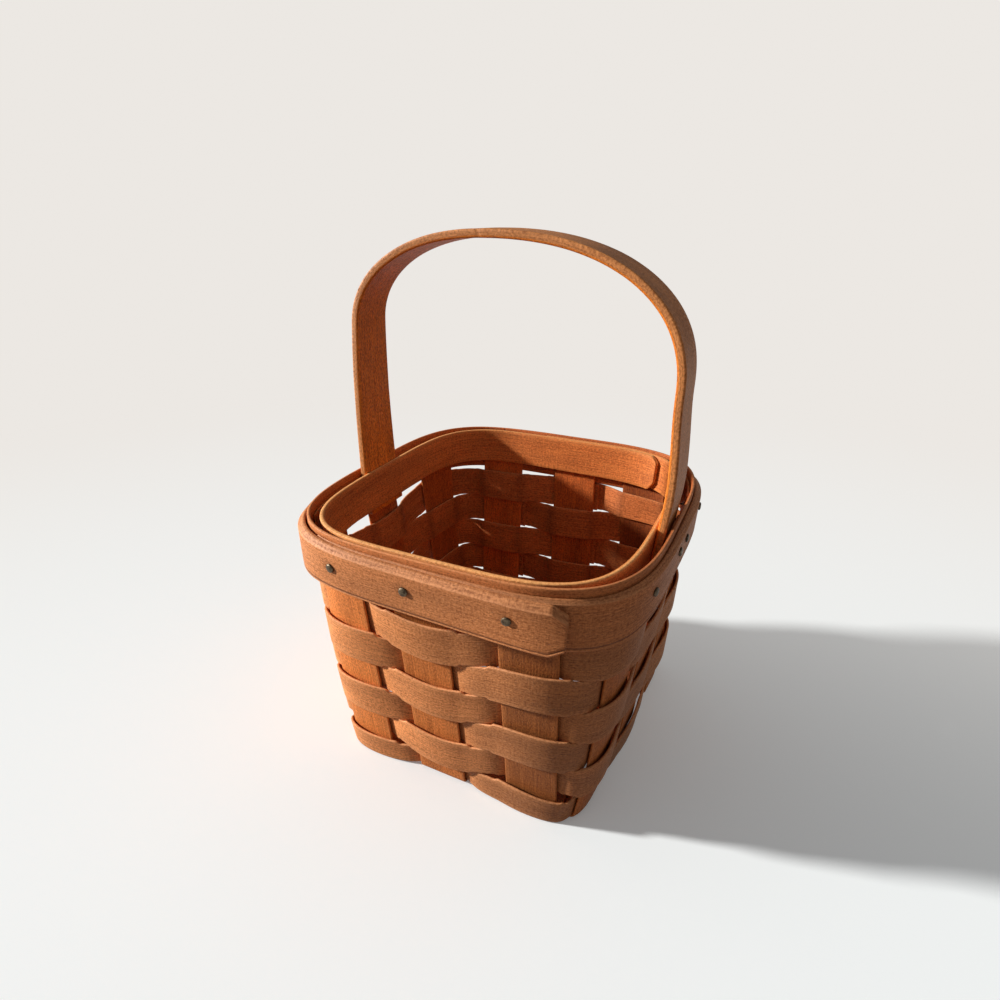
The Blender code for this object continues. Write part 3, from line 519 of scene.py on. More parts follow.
def sheet_object(name, sheet, shift):
    """An open mesh of a strip's middle that carries its faces as attributes."""
    rows, cols = sheet.run.shape
    middle = ((sheet.front + sheet.back) / 2.0).reshape(-1, 3)
    first = (np.arange(rows - 1)[:, None] * cols + np.arange(cols - 1)[None, :]).reshape(-1)
    faces = np.stack((first, first + cols, first + cols + 1, first + 1), axis=-1)
    mesh = bpy.data.meshes.new(name)
    mesh.from_pydata(middle.tolist(), [], faces.tolist())
    place = np.stack((sheet.run + shift, sheet.across, 0.0 * sheet.run), axis=-1)
    for label, values in (("front_face", sheet.front), ("back_face", sheet.back), ("place", place)):
        set_attribute(mesh, label, values.reshape(-1, 3))
    for label in ("tone", "worn", "bruise"):
        set_attribute(mesh, label, getattr(sheet, label).reshape(-1))
    return add_object(name, mesh)


class Nodes:
    """Adds and joins the nodes of one tree."""

    def __init__(self, tree):
        self.tree = tree

    def node(self, kind, feeds=None, **settings):
        """Add a node, set its options and feed its inputs."""
        made = self.tree.nodes.new(kind)
        for key, value in settings.items():
            setattr(made, key, value)
        for key, value in (feeds or {}).items():
            self.feed(made, key, value)
        return made

    def feed(self, node, key, value):
        """Join or set one input, found by its name or its number."""
        if isinstance(key, int):
            target = node.inputs[key]
        else:
            target = next(s for s in node.inputs if s.name == key and s.enabled)
        if isinstance(value, bpy.types.NodeSocket):
            self.tree.links.new(value, target)
        else:
            target.default_value = value

    def math(self, operation, first, second):
        """Combine two numbers."""
        return self.node("ShaderNodeMath", {0: first, 1: second}, operation=operation).outputs[0]

    def vector(self, operation, first, second):
        """Combine two vectors, or scale one by a number."""
        other = "Scale" if operation == 'SCALE' else 1
        made = self.node("ShaderNodeVectorMath", {0: first, other: second}, operation=operation)
        return made.outputs["Value" if operation == 'DISTANCE' else "Vector"]


class GeometryTree(Nodes):
    """A geometry tree with named numbers, a material and one result."""

    def __init__(self, name, numbers):
        super().__init__(bpy.data.node_groups.new(name, 'GeometryNodeTree'))
        self.tree.is_modifier = True
        self.socket("Geometry", 'NodeSocketGeometry')
        for label, value in numbers.items():
            kind = 'NodeSocketInt' if isinstance(value, int) else 'NodeSocketFloat'
            self.socket(label, kind).default_value = value
        self.socket("Material", 'NodeSocketMaterial')
        self.socket("Geometry", 'NodeSocketGeometry', 'OUTPUT')
        self.given = self.node("NodeGroupInput").outputs

    def socket(self, name, kind, way='INPUT'):
        """Add a named input or output."""
        return self.tree.interface.new_socket(name, in_out=way, socket_type=kind)

    def named(self, label, kind='FLOAT_VECTOR'):
        """Read a named attribute."""
        made = self.node("GeometryNodeInputNamedAttribute", {"Name": label}, data_type=kind)
        return next(s for s in made.outputs if s.name == "Attribute" and s.enabled)

    def store(self, geometry, label, value, selection=True, kind='FLOAT_VECTOR', domain='POINT'):
        """Keep a value on the geometry under a name."""
        feeds = {"Geometry": geometry, "Selection": selection, "Name": label, "Value": value}
        kept = self.node("GeometryNodeStoreNamedAttribute", feeds, data_type=kind, domain=domain)
        return kept.outputs[0]

    def move(self, geometry, place, selection=True):
        """Set the places of points."""
        feeds = {"Geometry": geometry, "Selection": selection, "Position": place}
        return self.node("GeometryNodeSetPosition", feeds).outputs[0]

    def stand(self, instance, rotation, scale):
        """Put an instance on each given point."""
        feeds = {"Points": self.given["Geometry"], "Instance": instance}
        feeds.update({"Rotation": rotation, "Scale": scale})
        return self.node("GeometryNodeInstanceOnPoints", feeds).outputs[0]

    def joined(self, *pieces):
        """Join geometries."""
        both = self.node("GeometryNodeJoinGeometry")
        for piece in pieces:
            self.feed(both, 0, piece)
        return both.outputs[0]

    def finish(self, geometry):
        """Realise, smooth and paint the result."""
        real = self.node("GeometryNodeRealizeInstances", {"Geometry": geometry})
        smooth = self.node("GeometryNodeSetShadeSmooth", {"Geometry": real.outputs[0]})
        feeds = {"Geometry": smooth.outputs[0], "Material": self.given["Material"]}
        self.node("NodeGroupOutput", {0: self.node("GeometryNodeSetMaterial", feeds).outputs[0]})
        return self.tree


def strip_tree():
    """Node tree that closes a sheet into a strip with a hand-made unevenness."""
    numbers = {"Unevenness": 0.0, "Unevenness Size": 0.02, "Seed": 0.0, "Inside": 0.0}
    b = GeometryTree("Close strip", numbers)
    front_face, back_face = b.named("front_face"), b.named("back_face")

    # The same soft push moves both faces, so the strip keeps its thickness.
    spot = b.node("GeometryNodeInputPosition").outputs[0]
    scale = b.math('DIVIDE', 1.0, b.given["Unevenness Size"])
    feeds = {"Vector": spot, "W": b.given["Seed"], "Scale": scale, "Detail": 1.0}
    noise = b.node("ShaderNodeTexNoise", feeds, noise_dimensions='4D').outputs["Color"]
    push = b.vector('SCALE', b.vector('SUBTRACT', noise, (0.5, 0.5, 0.5)), b.given["Unevenness"])

    # The pattern's third measure runs through the thickness, so that it turns the edges.
    depth = b.vector('DISTANCE', front_face, back_face)
    sunk = b.node("ShaderNodeCombineXYZ", {"Z": depth}).outputs[0]
    under = b.vector('ADD', b.named("place"), sunk)

    back_place = b.named("back_place")
    kept = b.store(b.given["Geometry"], "back_place", b.vector('ADD', back_face, push))
    front = b.move(kept, b.vector('ADD', front_face, push))
    back = b.store(b.move(kept, back_place), "place", under)
    # The back faces are marked for the painted shade that the material puts on them.
    back = b.store(back, "inside", b.given["Inside"], kind='FLOAT', domain='FACE')
    turned = b.node("GeometryNodeFlipFaces", {"Mesh": back}).outputs[0]

    # The open edges of the front reach back to the other face.
    around = b.node("GeometryNodeInputMeshEdgeNeighbors").outputs[0]
    rim = b.node("FunctionNodeCompare", {2: around, 3: 1}, data_type='INT', operation='EQUAL')
    feeds = {"Mesh": front, "Selection": rim.outputs[0], "Offset Scale": 0.0}
    side = b.node("GeometryNodeExtrudeMesh", feeds, mode='EDGES').outputs
    drop = b.move(side["Mesh"], back_place, side["Top"])
    both = b.joined(b.store(drop, "place", under, side["Top"]), turned)
    closed = b.node("GeometryNodeMergeByDistance", {"Geometry": both, "Distance": 1e-6})
    return b.finish(closed.outputs[0])


def plain_result(item, tree, values):
    """Run a tree on an object and keep its result as a plain mesh."""
    modifier = item.modifiers.new(tree.name, 'NODES')
    modifier.node_group = tree
    for socket in tree.interface.items_tree:
        if socket.in_out == 'INPUT' and socket.name in values:
            modifier[socket.identifier] = values[socket.name]
    bpy.context.view_layer.update()
    graph = bpy.context.evaluated_depsgraph_get()
    made = bpy.data.meshes.new_from_object(item.evaluated_get(graph), depsgraph=graph)
    item.modifiers.clear()
    old = item.data
    item.data = made
    bpy.data.meshes.remove(old)
    made.name = item.name
    for label in ("front_face", "back_face", "back_place"):
        layer = made.attributes.get(label)
        if layer:
            made.attributes.remove(layer)
    return item


def dress(item, node_names):
    """Let a finished piece stand for its packed nodes."""
    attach(item, ROOT)
    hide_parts(*node_names)
    return item


def make_strip(scene, name, sheet, kind, shift, unevenness=0.25 * MM, **looks):
    """Close one sheet into a finished strip, cut from its own place in the wood's pattern."""
    slot = f"{kind}_wood"
    colour = getattr(scene.basket_finish, kind)
    values = {
        "Unevenness": unevenness,
        "Unevenness Size": 0.022,
        "Seed": 3.0,
        "Inside": 1.0,
        "Material": named_material(f"dressed_{slot}", wood_material, colour, **looks),
    }
    tree = bpy.data.node_groups.get("Close strip") or strip_tree()
    item = sheet_object(f"dressed_{name}", sheet, shift)
    plain_result(item, tree, values)
    return dress(item, [name])


def linear(channel):
    """Turn one display colour channel into a linear one."""
    if channel <= 0.04045:
        return channel / 12.92
    return ((channel + 0.055) / 1.055) ** 2.4


def linear_colour(colour, gain=1.0):
    """Linear colour of a display colour, made lighter or darker."""
    return tuple(linear(c) * gain for c in colour) + (1.0,)


class Paint(Nodes):
    """Adds and joins the nodes of one material."""

    def __init__(self, name):
        self.material = bpy.data.materials.new(name)
        self.material.use_nodes = True
        super().__init__(self.material.node_tree)
        self.shader = self.tree.nodes["Principled BSDF"]

    def shade(self, **inputs):
        """Feed inputs of the shader."""
        for key, value in inputs.items():
            self.feed(self.shader, key.replace("_", " "), value)

    def attribute(self, label, output="Fac"):
        """Read a mesh attribute."""
        return self.node("ShaderNodeAttribute", attribute_name=label).outputs[output]

    def noise(self, place, along, across, shift, detail, roughness):
        """Noise that repeats so often in a metre along the grain and across it."""
        feeds = {"Vector": place, "Scale": (along, across, across), "Location": (shift, 0.0, 0.0)}
        moved = self.node("ShaderNodeMapping", feeds).outputs[0]
        feeds = {"Vector": moved, "Scale": 1.0, "Detail": detail, "Roughness": roughness}
        return self.node("ShaderNodeTexNoise", feeds).outputs["Fac"]

    def remap(self, value, low, high, to_low=0.0, to_high=1.0):
        """Bring a range of values to another range."""
        feeds = {"Value": value, "From Min": low, "From Max": high}
        feeds.update({"To Min": to_low, "To Max": to_high})
        return self.node("ShaderNodeMapRange", feeds).outputs["Result"]

    def mix(self, share, first, second, blend='MIX'):
        """Mix two colours."""
        feeds = {0: share, 6: first, 7: second}
        return self.node("ShaderNodeMix", feeds, data_type='RGBA', blend_type=blend).outputs[2]

    def multiply(self, base, value):
        """Make a colour lighter or darker by a number."""
        grey = self.node("ShaderNodeCombineColor", {0: value, 1: value, 2: value}).outputs[0]
        return self.mix(1.0, base, grey, 'MULTIPLY')

    def bump(self, height, strength, distance):
        """Turn a height into a bump on the shader."""
        feeds = {"Strength": strength, "Distance": distance, "Height": height}
        self.shade(Normal=self.node("ShaderNodeBump", feeds).outputs[0])


def wood_material(name, colour, painted_shade_tint=INSIDE_PAINTED_SHADE, coarse=0.85, shine=0.56, crossing=0.16):
    """Stained split wood with fibres, pores, flecks and worn edges along the strip, with the painted
    light and shade that its marks carry.
    """
    p = Paint(name)
    place = p.attribute("place", "Vector")
    patterns = [p.noise(place, *sizes) for sizes in WOOD_PATTERNS.values()]
    fibres, grit, checks, pores, clouds = patterns
    red, green, blue = colour
    dark = linear_colour((red * 0.84, green * 0.74, blue * 0.62), 0.84)
    worn_colour = linear_colour((min(red * 1.15, 1.0), green * 1.2, blue * 1.3))

    grain = p.math('MULTIPLY', fibres, 0.30)
    grain = p.math('ADD', grain, p.math('MULTIPLY', grit, 0.70 - crossing))
    grain = p.math('ADD', grain, p.math('MULTIPLY', checks, crossing))
    contrast = 0.13 * coarse
    base = p.mix(p.remap(grain, 0.5 - contrast, 0.5 + contrast), dark, linear_colour(colour, 1.42))
    base = p.multiply(base, p.remap(clouds, 0.30, 0.70, 0.84, 1.14))
    hole = p.remap(pores, 0.68, 0.76)
    base = p.mix(p.math('MULTIPLY', hole, 0.55), base, linear_colour(PORE_COLOUR))
    # The tone carries each strip's own tone and also painted light and shade.
    base = p.multiply(base, p.math('ADD', p.attribute("tone"), 1.0))
    worn = p.math('MULTIPLY', p.attribute("worn"), p.remap(grit, 0.35, 0.65, 0.3, 0.8))
    base = p.mix(worn, base, worn_colour)
    # The bruise colour carries the tack bruises and painted shade.
    bruise = p.remap(p.attribute("bruise"), 0.0, 1.0, 0.0, 0.9)
    base = p.mix(bruise, base, linear_colour(BRUISE_AND_SHADE_COLOUR))
    # Painted shade: the back faces take a darker, redder tint.
    base = p.mix(p.attribute("inside"), base, painted_shade_tint, 'MULTIPLY')
    p.shade(Base_Color=base, Roughness=p.remap(grain, 0.3, 0.7, shine + 0.12, shine - 0.06))
    p.shade(Specular_IOR_Level=0.25)
    p.bump(p.math('SUBTRACT', p.math('MULTIPLY', grain, 1.3), hole), 0.8, 0.28 * MM)
    return p.material


def metal_material(name, colour):
    """Dull metal with dark oxide patches and small dents."""
    p = Paint(name)
    place = p.node("ShaderNodeTexCoord").outputs["Object"]
    patches = p.noise(place, 700.0, 700.0, 0.0, 4.0, 0.6)
    dents = p.noise(place, 1500.0, 1500.0, 2.0, 2.0, 0.5)
    red, green, blue = colour
    dark = linear_colour((red * 0.55, green * 0.50, blue * 0.45))
    base = p.mix(p.remap(patches, 0.35, 0.65), dark, linear_colour(colour))
    p.shade(Base_Color=base, Roughness=p.remap(patches, 0.3, 0.7, 0.62, 0.38), Metallic=0.85)
    p.bump(dents, 0.5, 0.15 * MM)
    return p.material


def named_material(name, maker, colour, **looks):
    """Find a material, or make it."""
    return bpy.data.materials.get(name) or maker(name, colour, **looks)


def passes_outside(upright, row):
    """Whether a weaver runs outside an upright."""
    return (upright + row) % 2 == 1


def weave_offset(weavers, splints, distance, stations):
    """Distance of a weaver from the middle of the wall, at a distance along it."""
    half = splints.width / 2.0 + weavers.edge_margin
    low = weavers.edge_swing
    rise = weavers.swing - low
    slopes = {1.0: 2.0 * rise / half, -1.0: weavers.steepness}
    for (place, side), (after, other) in zip(stations, stations[1:]):
        if distance > after:
            continue
        if distance - place <= half:
            part = (distance - place) / half
            return side * (low + rise * (1.0 - part * part))
        if after - distance <= half:
            part = (after - distance) / half
            return other * (low + rise * (1.0 - part * part))
        span = after - place - 2.0 * half
        leaving, arriving = -side * slopes[side] * span, other * slopes[other] * span
        t = (distance - place - half) / span
        return bridge(t, side * low, leaving, other * low, arriving)
    return 0.0


def nearness(settings, label, angle):
    """One at a named place round the basket, falling off on both sides of it."""
    away = (angle - getattr(settings, f"{label}_place") + pi) % (2.0 * pi) - pi
    return np.exp(-(away / getattr(settings, f"{label}_spread")) ** 2)


def painted_shade_side(scene, angle):
    """Painted shade: darkness put on the wood on the side turned from the main lamp."""
    splints = scene.basket_splints
    return splints.stain * nearness(splints, "stain", angle)


def weaver_size(weavers, row):
    """Height of the middle of a row, and its width."""
    if row == weavers.rows - 1:
        return weavers.bottom_foot + weavers.bottom_height / 2.0, weavers.bottom_height
    return weavers.top_centre - row * weavers.pitch, weavers.pitch


def weaver_route(scene, row, lead):
    """Outline of a weaver from its start, and the places and sides of the uprights on it."""
    wall = scene.basket_wall
    centre = weaver_size(scene.basket_weavers, row)[0]
    shape = half_size(wall, centre), half_size(wall, centre), squareness(wall, centre)
    spots = [upright_plan(wall, place, centre) for place in upright_places(scene.basket_splints)]
    probe = Outline(0.0, *shape)
    start = probe.distance_at(*spots[START_UPRIGHT + row % 2]) - lead
    outline = Outline(float(probe.angle_at(start)), *shape)
    stations = []
    for k, spot in enumerate(spots):
        stations.append((outline.distance_at(*spot), 1.0 if passes_outside(k, row) else -1.0))
    stations.sort()
    last, last_side = stations[-1]
    after = [(place + outline.total, side) for place, side in stations[:2]]
    return outline, [(last - outline.total, last_side)] + stations + after


def row_spread(weavers, angle, clear):
    """How far a row spreads, which it does only where the next row runs well clear of it."""
    behind, added_before = 0.3, 0.9
    least_room, full_room = 0.05 * MM, 0.55 * MM
    share = behind + added_before * np.clip(-np.sin(angle), 0.0, 1.0)
    room = clear - weavers.thickness - least_room
    return weavers.overlap * share * smooth_step(room / full_room)


def weaver_edges(scene, row, angle, weave, spread):
    """Heights of the lower and the upper edge of a row."""
    weavers = scene.basket_weavers
    centre, height = weaver_size(weavers, row)
    lift = weavers.lift * nearness(weavers, "lift", angle)
    lift = lift + weavers.back_lift * nearness(weavers, "back_lift", angle)
    if row == weavers.rows - 1:
        wander = weavers.bottom_wander * np.clip(weave / weavers.edge_swing, -1.0, 1.0)
        low = centre - height / 2.0 - wander
        return low, low + height + lift + spread
    sag = weavers.sag * (0.5 - 0.5 * np.sin(angle)) * np.cos(4.0 * angle)
    dip = weavers.dip * nearness(weavers, "dip", angle)
    tilt = 1.0 + weavers.tilt / scene.basket_wall.rim_height * np.sin(angle)
    low, high = (
        level * tilt + lift - sag - dip * smooth_step(level / weavers.dip_foot)
        for level in (centre - height / 2.0, centre + height / 2.0)
    )
    return low + weavers.gap / 2.0 - spread, high - weavers.gap / 2.0 + spread


def weaver_sheet(scene, row):
    """Sheet of one weaver hoop, its end lapped over its start behind the basket."""
    wall, splints, weavers = scene.basket_wall, scene.basket_splints, scene.basket_weavers
    centre, height = weaver_size(weavers, row)
    lead = splints.width / 2.0 + weavers.lap_margin
    outline, stations = weaver_route(scene, row, lead)
    run = strip_run(outline.total + 2.0 * lead, 0.9 * MM)
    crossed = [(place, -side) for place, side in stations]
    weave, next_weave = (
        np.array([weave_offset(weavers, splints, d, route) for d in run])
        for route in (stations, crossed)
    )
    climb = smooth_step((run - outline.total + weavers.lap_ramp) / weavers.lap_ramp)
    offset = weave + (weavers.thickness + splints.clearance) * climb
    angle = outline.angle_at(run)
    spread = row_spread(weavers, angle, np.abs(weave - next_weave))
    low, high = weaver_edges(scene, row, angle, weave, spread)
    band = OuterBand(scene)
    band_foot = band.top(wall_points(wall, angle, centre, offset)[:, 0]) - band.bands.outer_height
    high = np.minimum(high, band_foot - weavers.top_room)

    across = spaced_columns(height, COLUMN_SPACING) - height / 2.0
    ahead = np.gradient(wall_points(wall, angle, (low + high) / 2.0, offset), run, axis=0)
    out = np.stack((ahead[:, 1], -ahead[:, 0], 0.0 * run), axis=-1)
    out *= weavers.thickness / 2.0 / np.linalg.norm(out, axis=-1, keepdims=True)
    foot, top = (wall_points(wall, angle, level, offset)[:, None, :] for level in (low, high))
    share = (across / height + 0.5)[None, :, None]
    points = foot * (1.0 - share) + top * share
    sheet = Sheet(points + out[:, None, :], points - out[:, None, :], run, across)

    # Painted light at the front left and painted shade at the front right.
    fade = nearness(weavers, "faded", angle) - nearness(weavers, "dark", angle)
    sheet.tone += WEAVER_TONES[row % len(WEAVER_TONES)] + weavers.fading * fade[:, None]
    # Painted shade in the recess beside each upright that the weaver runs behind, and on the side
    # turned from the lamp.
    behind = np.min([np.abs(run - place) for place, side in stations if side < 0.0], axis=0)
    beside = (behind / splints.width - RECESS_SHADE_PLACE) / RECESS_SHADE_SPREAD
    patina = weavers.patina * np.exp(-beside ** 2)
    sheet.bruise += np.maximum(patina, painted_shade_side(scene, angle))[:, None]
    sheet.soften_edges()
    return sheet


def splint_level(splints, along, crossings, parity):
    """Height of the middle of a splint in the base."""
    low = splints.thickness / 2.0
    high = low + splints.thickness + splints.clearance
    half = splints.width / 2.0 + splints.cross_margin
    levels = [high if (k + parity) % 2 == 0 else low for k in range(len(crossings))]
    level = levels[0]
    for k in range(1, len(levels)):
        leave, arrive = crossings[k - 1] + half, crossings[k] - half
        share = float(smooth_step((along - leave) / (arrive - leave)))
        level += (levels[k] - levels[k - 1]) * share
    return level


def between_ends(wall, ends, index, along):
    """Place across the base of one splint that runs a little askew."""
    share = np.clip(0.5 + 0.5 * along / wall.base_half, 0.0, 1.0)
    return ends[0][index] + (ends[1][index] - ends[0][index]) * share


def splint_line(scene, index, lengthwise, aside):
    """Walk one lengthwise line of a splint, from rim to rim."""
    wall, splints = scene.basket_wall, scene.basket_splints
    ends = (splints.front, splints.back) if lengthwise else (splints.left, splints.right)
    others = (splints.left, splints.right) if lengthwise else (splints.front, splints.back)
    parity = index if lengthwise else index + 1
    radius = splints.bend
    top = wall.rim_height - splints.below_rim
    places_on_straight, places_on_bend = 90, 8

    def level_at(along, across):
        crossings = [float(between_ends(wall, others, k, across)) for k in range(3)]
        return splint_level(splints, along, crossings, parity)

    sides = []
    for end in (-1.0, 1.0):
        across = float(between_ends(wall, ends, index, end * wall.base_half)) + aside
        foot = level_at(end * wall.base_half, across) + radius
        heights = top - (top - foot) * np.linspace(0.0, 1.0, places_on_straight)
        heights[:len(EDGE_STEPS)] = top - np.array(EDGE_STEPS)
        reaches = wall_reach(wall, across, heights)
        side = [(end * reach, across, z) for reach, z in zip(reaches, heights)]
        inner = float(wall_reach(wall, across, foot)) - radius
        for turn in np.linspace(0.0, pi / 2.0, places_on_bend)[1:]:
            side.append((end * (inner + radius * cos(turn)), across, foot - radius * sin(turn)))
        sides.append(side)
    flat = []
    for along in np.linspace(sides[0][-1][0], sides[1][-1][0], places_on_straight)[1:-1]:
        across = float(between_ends(wall, ends, index, along)) + aside
        flat.append((along, across, level_at(along, across)))
    return sides[0] + flat + sides[1][::-1]


def splint_sheet(scene, index, lengthwise):
    """Sheet of one long splint: up one wall, across the base and up the other."""
    wall, splints = scene.basket_wall, scene.basket_splints
    columns = spaced_columns(splints.width, COLUMN_SPACING) - splints.width / 2.0
    lines = [splint_line(scene, index, lengthwise, aside) for aside in columns]
    along, across, z = np.array(lines).transpose(2, 1, 0)
    x, y = (across, along) if lengthwise else (along, across)
    points = drawn_out(wall, x, y, z)
    normal = np.cross(np.gradient(points, axis=0), np.gradient(points, axis=1))
    if not lengthwise:
        normal = -normal
    normal *= splints.thickness / 2.0 / np.linalg.norm(normal, axis=-1, keepdims=True)
    run = walked(points[:, len(columns) // 2])
    tone = SPLINT_TONES_AND_PAINTED_LIGHT[index if lengthwise else index + 3]
    sheet = Sheet(points + normal, points - normal, run, columns, tone)
    angle = np.arctan2(points[..., 1], points[..., 0])
    # A darker strip also takes some of the dark bruise colour, most of all the third lengthwise
    # splint with its painted shade, and the side turned from the lamp gets painted shade.
    sheet.bruise = np.maximum(sheet.bruise - 0.6 * min(tone, 0.0), painted_shade_side(scene, angle))
    sheet.soften_edges()
    return sheet


def seat_depth(splints):
    """How far from the middle of the wall another strip can lie against the uprights."""
    return splints.thickness / 2.0 + splints.clearance


def rim_outline(wall, x, y, turn=1.0):
    """Outline of the wall at the rim, from a chosen place."""
    half = half_size(wall, wall.rim_height)
    return Outline(atan2(y, x), half, half, wall.rim_squareness, turn)


def strip_run(length, spacing):
    """Distances along a strip, close together at both ends."""
    ends = [length - s for s in EDGE_STEPS]
    return np.unique(np.concatenate((np.arange(0.0, length, spacing), [length], EDGE_STEPS, ends)))


def top_strip_sheet(scene):
    """Sheet of the smooth strip that closes the weave."""
    wall, splints, bands = scene.basket_wall, scene.basket_splints, scene.basket_bands
    start = splints.back[0]
    outline = rim_outline(wall, start, float(wall_reach(wall, start, wall.rim_height)))
    run = strip_run(outline.total - bands.strip_joint, 0.8 * MM)
    angle = outline.angle_at(run)[:, None]
    columns = spaced_columns(bands.strip_height, 2.2 * MM)
    z = wall.rim_height - bands.strip_height + columns[None, :]
    near = seat_depth(splints)
    front = wall_points(wall, angle, z, near + bands.strip_thickness)
    back = wall_points(wall, angle, z, near)
    sheet = Sheet(front, back, run, columns)
    # Painted shade on the side turned from the main lamp.
    sheet.bruise += painted_shade_side(scene, angle)
    sheet.soften_edges(0.45 * MM, 0.3)
    return sheet


class LappedBand:
    """Route of a band round the rim, its end lapped over its thinned start."""

    def __init__(self, scene, kind):
        self.wall, self.bands = scene.basket_wall, scene.basket_bands
        self.clearance = scene.basket_splints.clearance
        self.depth = seat_depth(scene.basket_splints)
        self.kind = kind

    def size(self, label):
        """One of the sizes of this band."""
        return getattr(self.bands, f"{self.kind}_{label}")

    def follow(self, outline, end):
        """Run once round an outline and on to the place of the end."""
        self.outline = outline
        self.total = outline.total
        self.length = self.total + outline.distance_at(*end)

    def thickness(self, d):
        """Thickness at a distance from the thinned start."""
        growth = self.size("thickness") - self.size("start")
        return self.size("start") + growth * np.clip(d / self.size("scarf"), 0.0, 1.0)

    def climb(self, d):
        """How far the band stands off its seat, to pass over its start."""
        under = self.thickness(np.maximum(d - self.total, 0.0)) + self.clearance
        return under * smooth_step((d - self.total + self.size("ramp")) / self.size("ramp"))

    def reached(self, x, y):
        """Distance to a place, on the lapped end where the band runs past it twice."""
        d = self.outline.distance_at(x, y)
        return d + self.total if d < self.length - self.total else d


class OuterBand(LappedBand):
    """Route of the outer band, anticlockwise from the front left."""

    def __init__(self, scene):
        super().__init__(scene, "outer")
        start, end = (
            (x, -float(wall_reach(self.wall, x, self.wall.rim_height)))
            for x in (self.bands.outer_start_x, self.bands.outer_end_x)
        )
        self.follow(rim_outline(self.wall, *start), end)
        self.seat = self.depth + self.bands.strip_thickness + self.clearance

    def inside(self, d):
        """Offset of the inner face from the middle of the wall."""
        free = np.clip(1.0 - (self.length - d) / self.bands.outer_free, 0.0, 1.0)
        return self.seat + self.climb(d) + self.bands.outer_stand * free ** 2

    def top(self, x):
        """Height of the top edge."""
        return self.wall.rim_height - self.bands.outer_drop - self.bands.outer_tilt * x


def outer_band_sheet(scene, tacks):
    """Sheet of the outer band with bevelled edges and a lapped, clipped end."""
    band = OuterBand(scene)
    wall, bands = band.wall, band.bands
    run = strip_run(band.length, 0.7 * MM)
    angle = band.outline.angle_at(run)
    near = band.inside(run)
    thick = band.thickness(run)
    x = wall_points(wall, angle, wall.rim_height, near)[:, 0]
    clip = np.maximum(0.0, 1.0 - (band.length - run) / bands.outer_corner) * bands.outer_corner_drop
    top = (band.top(x) - clip)[:, None]
    foot = (band.top(x) - bands.outer_height + clip)[:, None]
    bevel = (bands.outer_bevel * thick / bands.outer_thickness)[:, None]
    angle, near, thick = angle[:, None], near[:, None], thick[:, None]
    share = spaced_columns(bands.outer_height, 0.6 * MM) / bands.outer_height
    flat = foot + bevel + (top - foot - 2.0 * bevel) * share[None, :]
    rise = np.array(BEVEL_STEPS)
    z = np.concatenate((foot + bevel * rise, flat, top - bevel * rise[::-1]), axis=1)

    depth = np.minimum(z - foot, top - z) / bevel
    nose = 1.0 - np.clip(depth / BEVEL_STEPS[1], 0.0, 1.0)
    nose_cut, back_cut = 0.06, 0.04
    cut = np.clip(1.0 - depth, 0.0, 1.0) * bands.outer_bevel_share + nose_cut * nose
    front = wall_points(wall, angle, z, near + thick * (1.0 - cut))
    back = wall_points(wall, angle, z, near + back_cut * nose * thick)
    sheet = Sheet(front, back, run, z[len(z) // 2] - wall.rim_height)

    # A line is scored over the lower bevel and darkened with painted shade of the crease, joined by
    # the painted shade of the side turned from the lamp; the wood below the line is made lighter.
    line_width, line_depth, wear_width = 0.38 * MM, 0.10, 0.35 * MM
    above = (z - foot - bevel - bands.outer_line) / line_width
    line = np.exp(-above ** 2)
    sheet.bruise = np.maximum(line, painted_shade_side(scene, angle))
    sheet.front = sheet.front + (sheet.back - sheet.front) * (line_depth * line)[..., None]
    sheet.worn = 0.85 * np.exp(-((depth - 1.0) * bevel / wear_width) ** 2)
    sheet.worn = np.where(above < 0.0, np.maximum(sheet.worn, 0.6 * (1.0 - line)), sheet.worn)

    # The upper bevel is a little darker than the flat of the band.
    shade, shade_ramp = 0.13, 0.3
    sheet.tone -= shade * smooth_step((foot + top < 2.0 * z) * (1.0 - depth) / shade_ramp)
    mark_bruises(sheet, tacks, z)
    sheet.thin(edge_ease(sheet.from_ends(), 0.4 * MM, 0.5))
    return sheet


def mark_bruises(sheet, tacks, z):
    """Darken and dent the wood around each tack, drawn out along the grain."""
    length, height, drop, hollow_size, hollow_depth = (
        size * MM for size in (3.6, 0.45, 0.2, 2.6, 0.28)
    )
    for tack in tacks:
        along = sheet.run - tack.distance
        level = z - tack.seat.z
        streak = np.exp(-(along / length) ** 2) * np.exp(-((level + drop) / height) ** 2)
        hollow = np.exp(-(np.hypot(along, level) / hollow_size) ** 2)
        sheet.bruise = np.maximum(sheet.bruise, np.maximum(0.55 * streak, 0.5 * hollow))
        sheet.front = sheet.front - np.array(tack.away) * (hollow_depth * hollow)[..., None]


class InnerBand(LappedBand):
    """Route of the inner band, clockwise from the back."""

    def __init__(self, scene):
        super().__init__(scene, "inner")
        self.handle = scene.basket_handle
        half_x, half_y = self.halves(self.wall.rim_height)
        power = self.bands.inner_squareness
        start, end = (
            (x, float(outline_reach(x, half_x, half_y, power)))
            for x in (self.bands.inner_start_x, self.bands.inner_end_x)
        )
        self.follow(Outline(atan2(start[1], start[0]), half_x, half_y, power, -1.0), end)

    def halves(self, z):
        """Half sizes of the outside of the inner band at a height."""
        seat = half_size(self.wall, z) - self.depth
        return seat - self.handle.thickness - self.clearance, seat

    def points(self, angle, z, inward):
        """Places on the band, moved in by a distance."""
        half_x, half_y = self.halves(z)
        x, y, nx, ny = plan_points(angle, half_x, half_y, self.bands.inner_squareness)
        return drawn_out(self.wall, x - nx * inward, y - ny * inward, z)


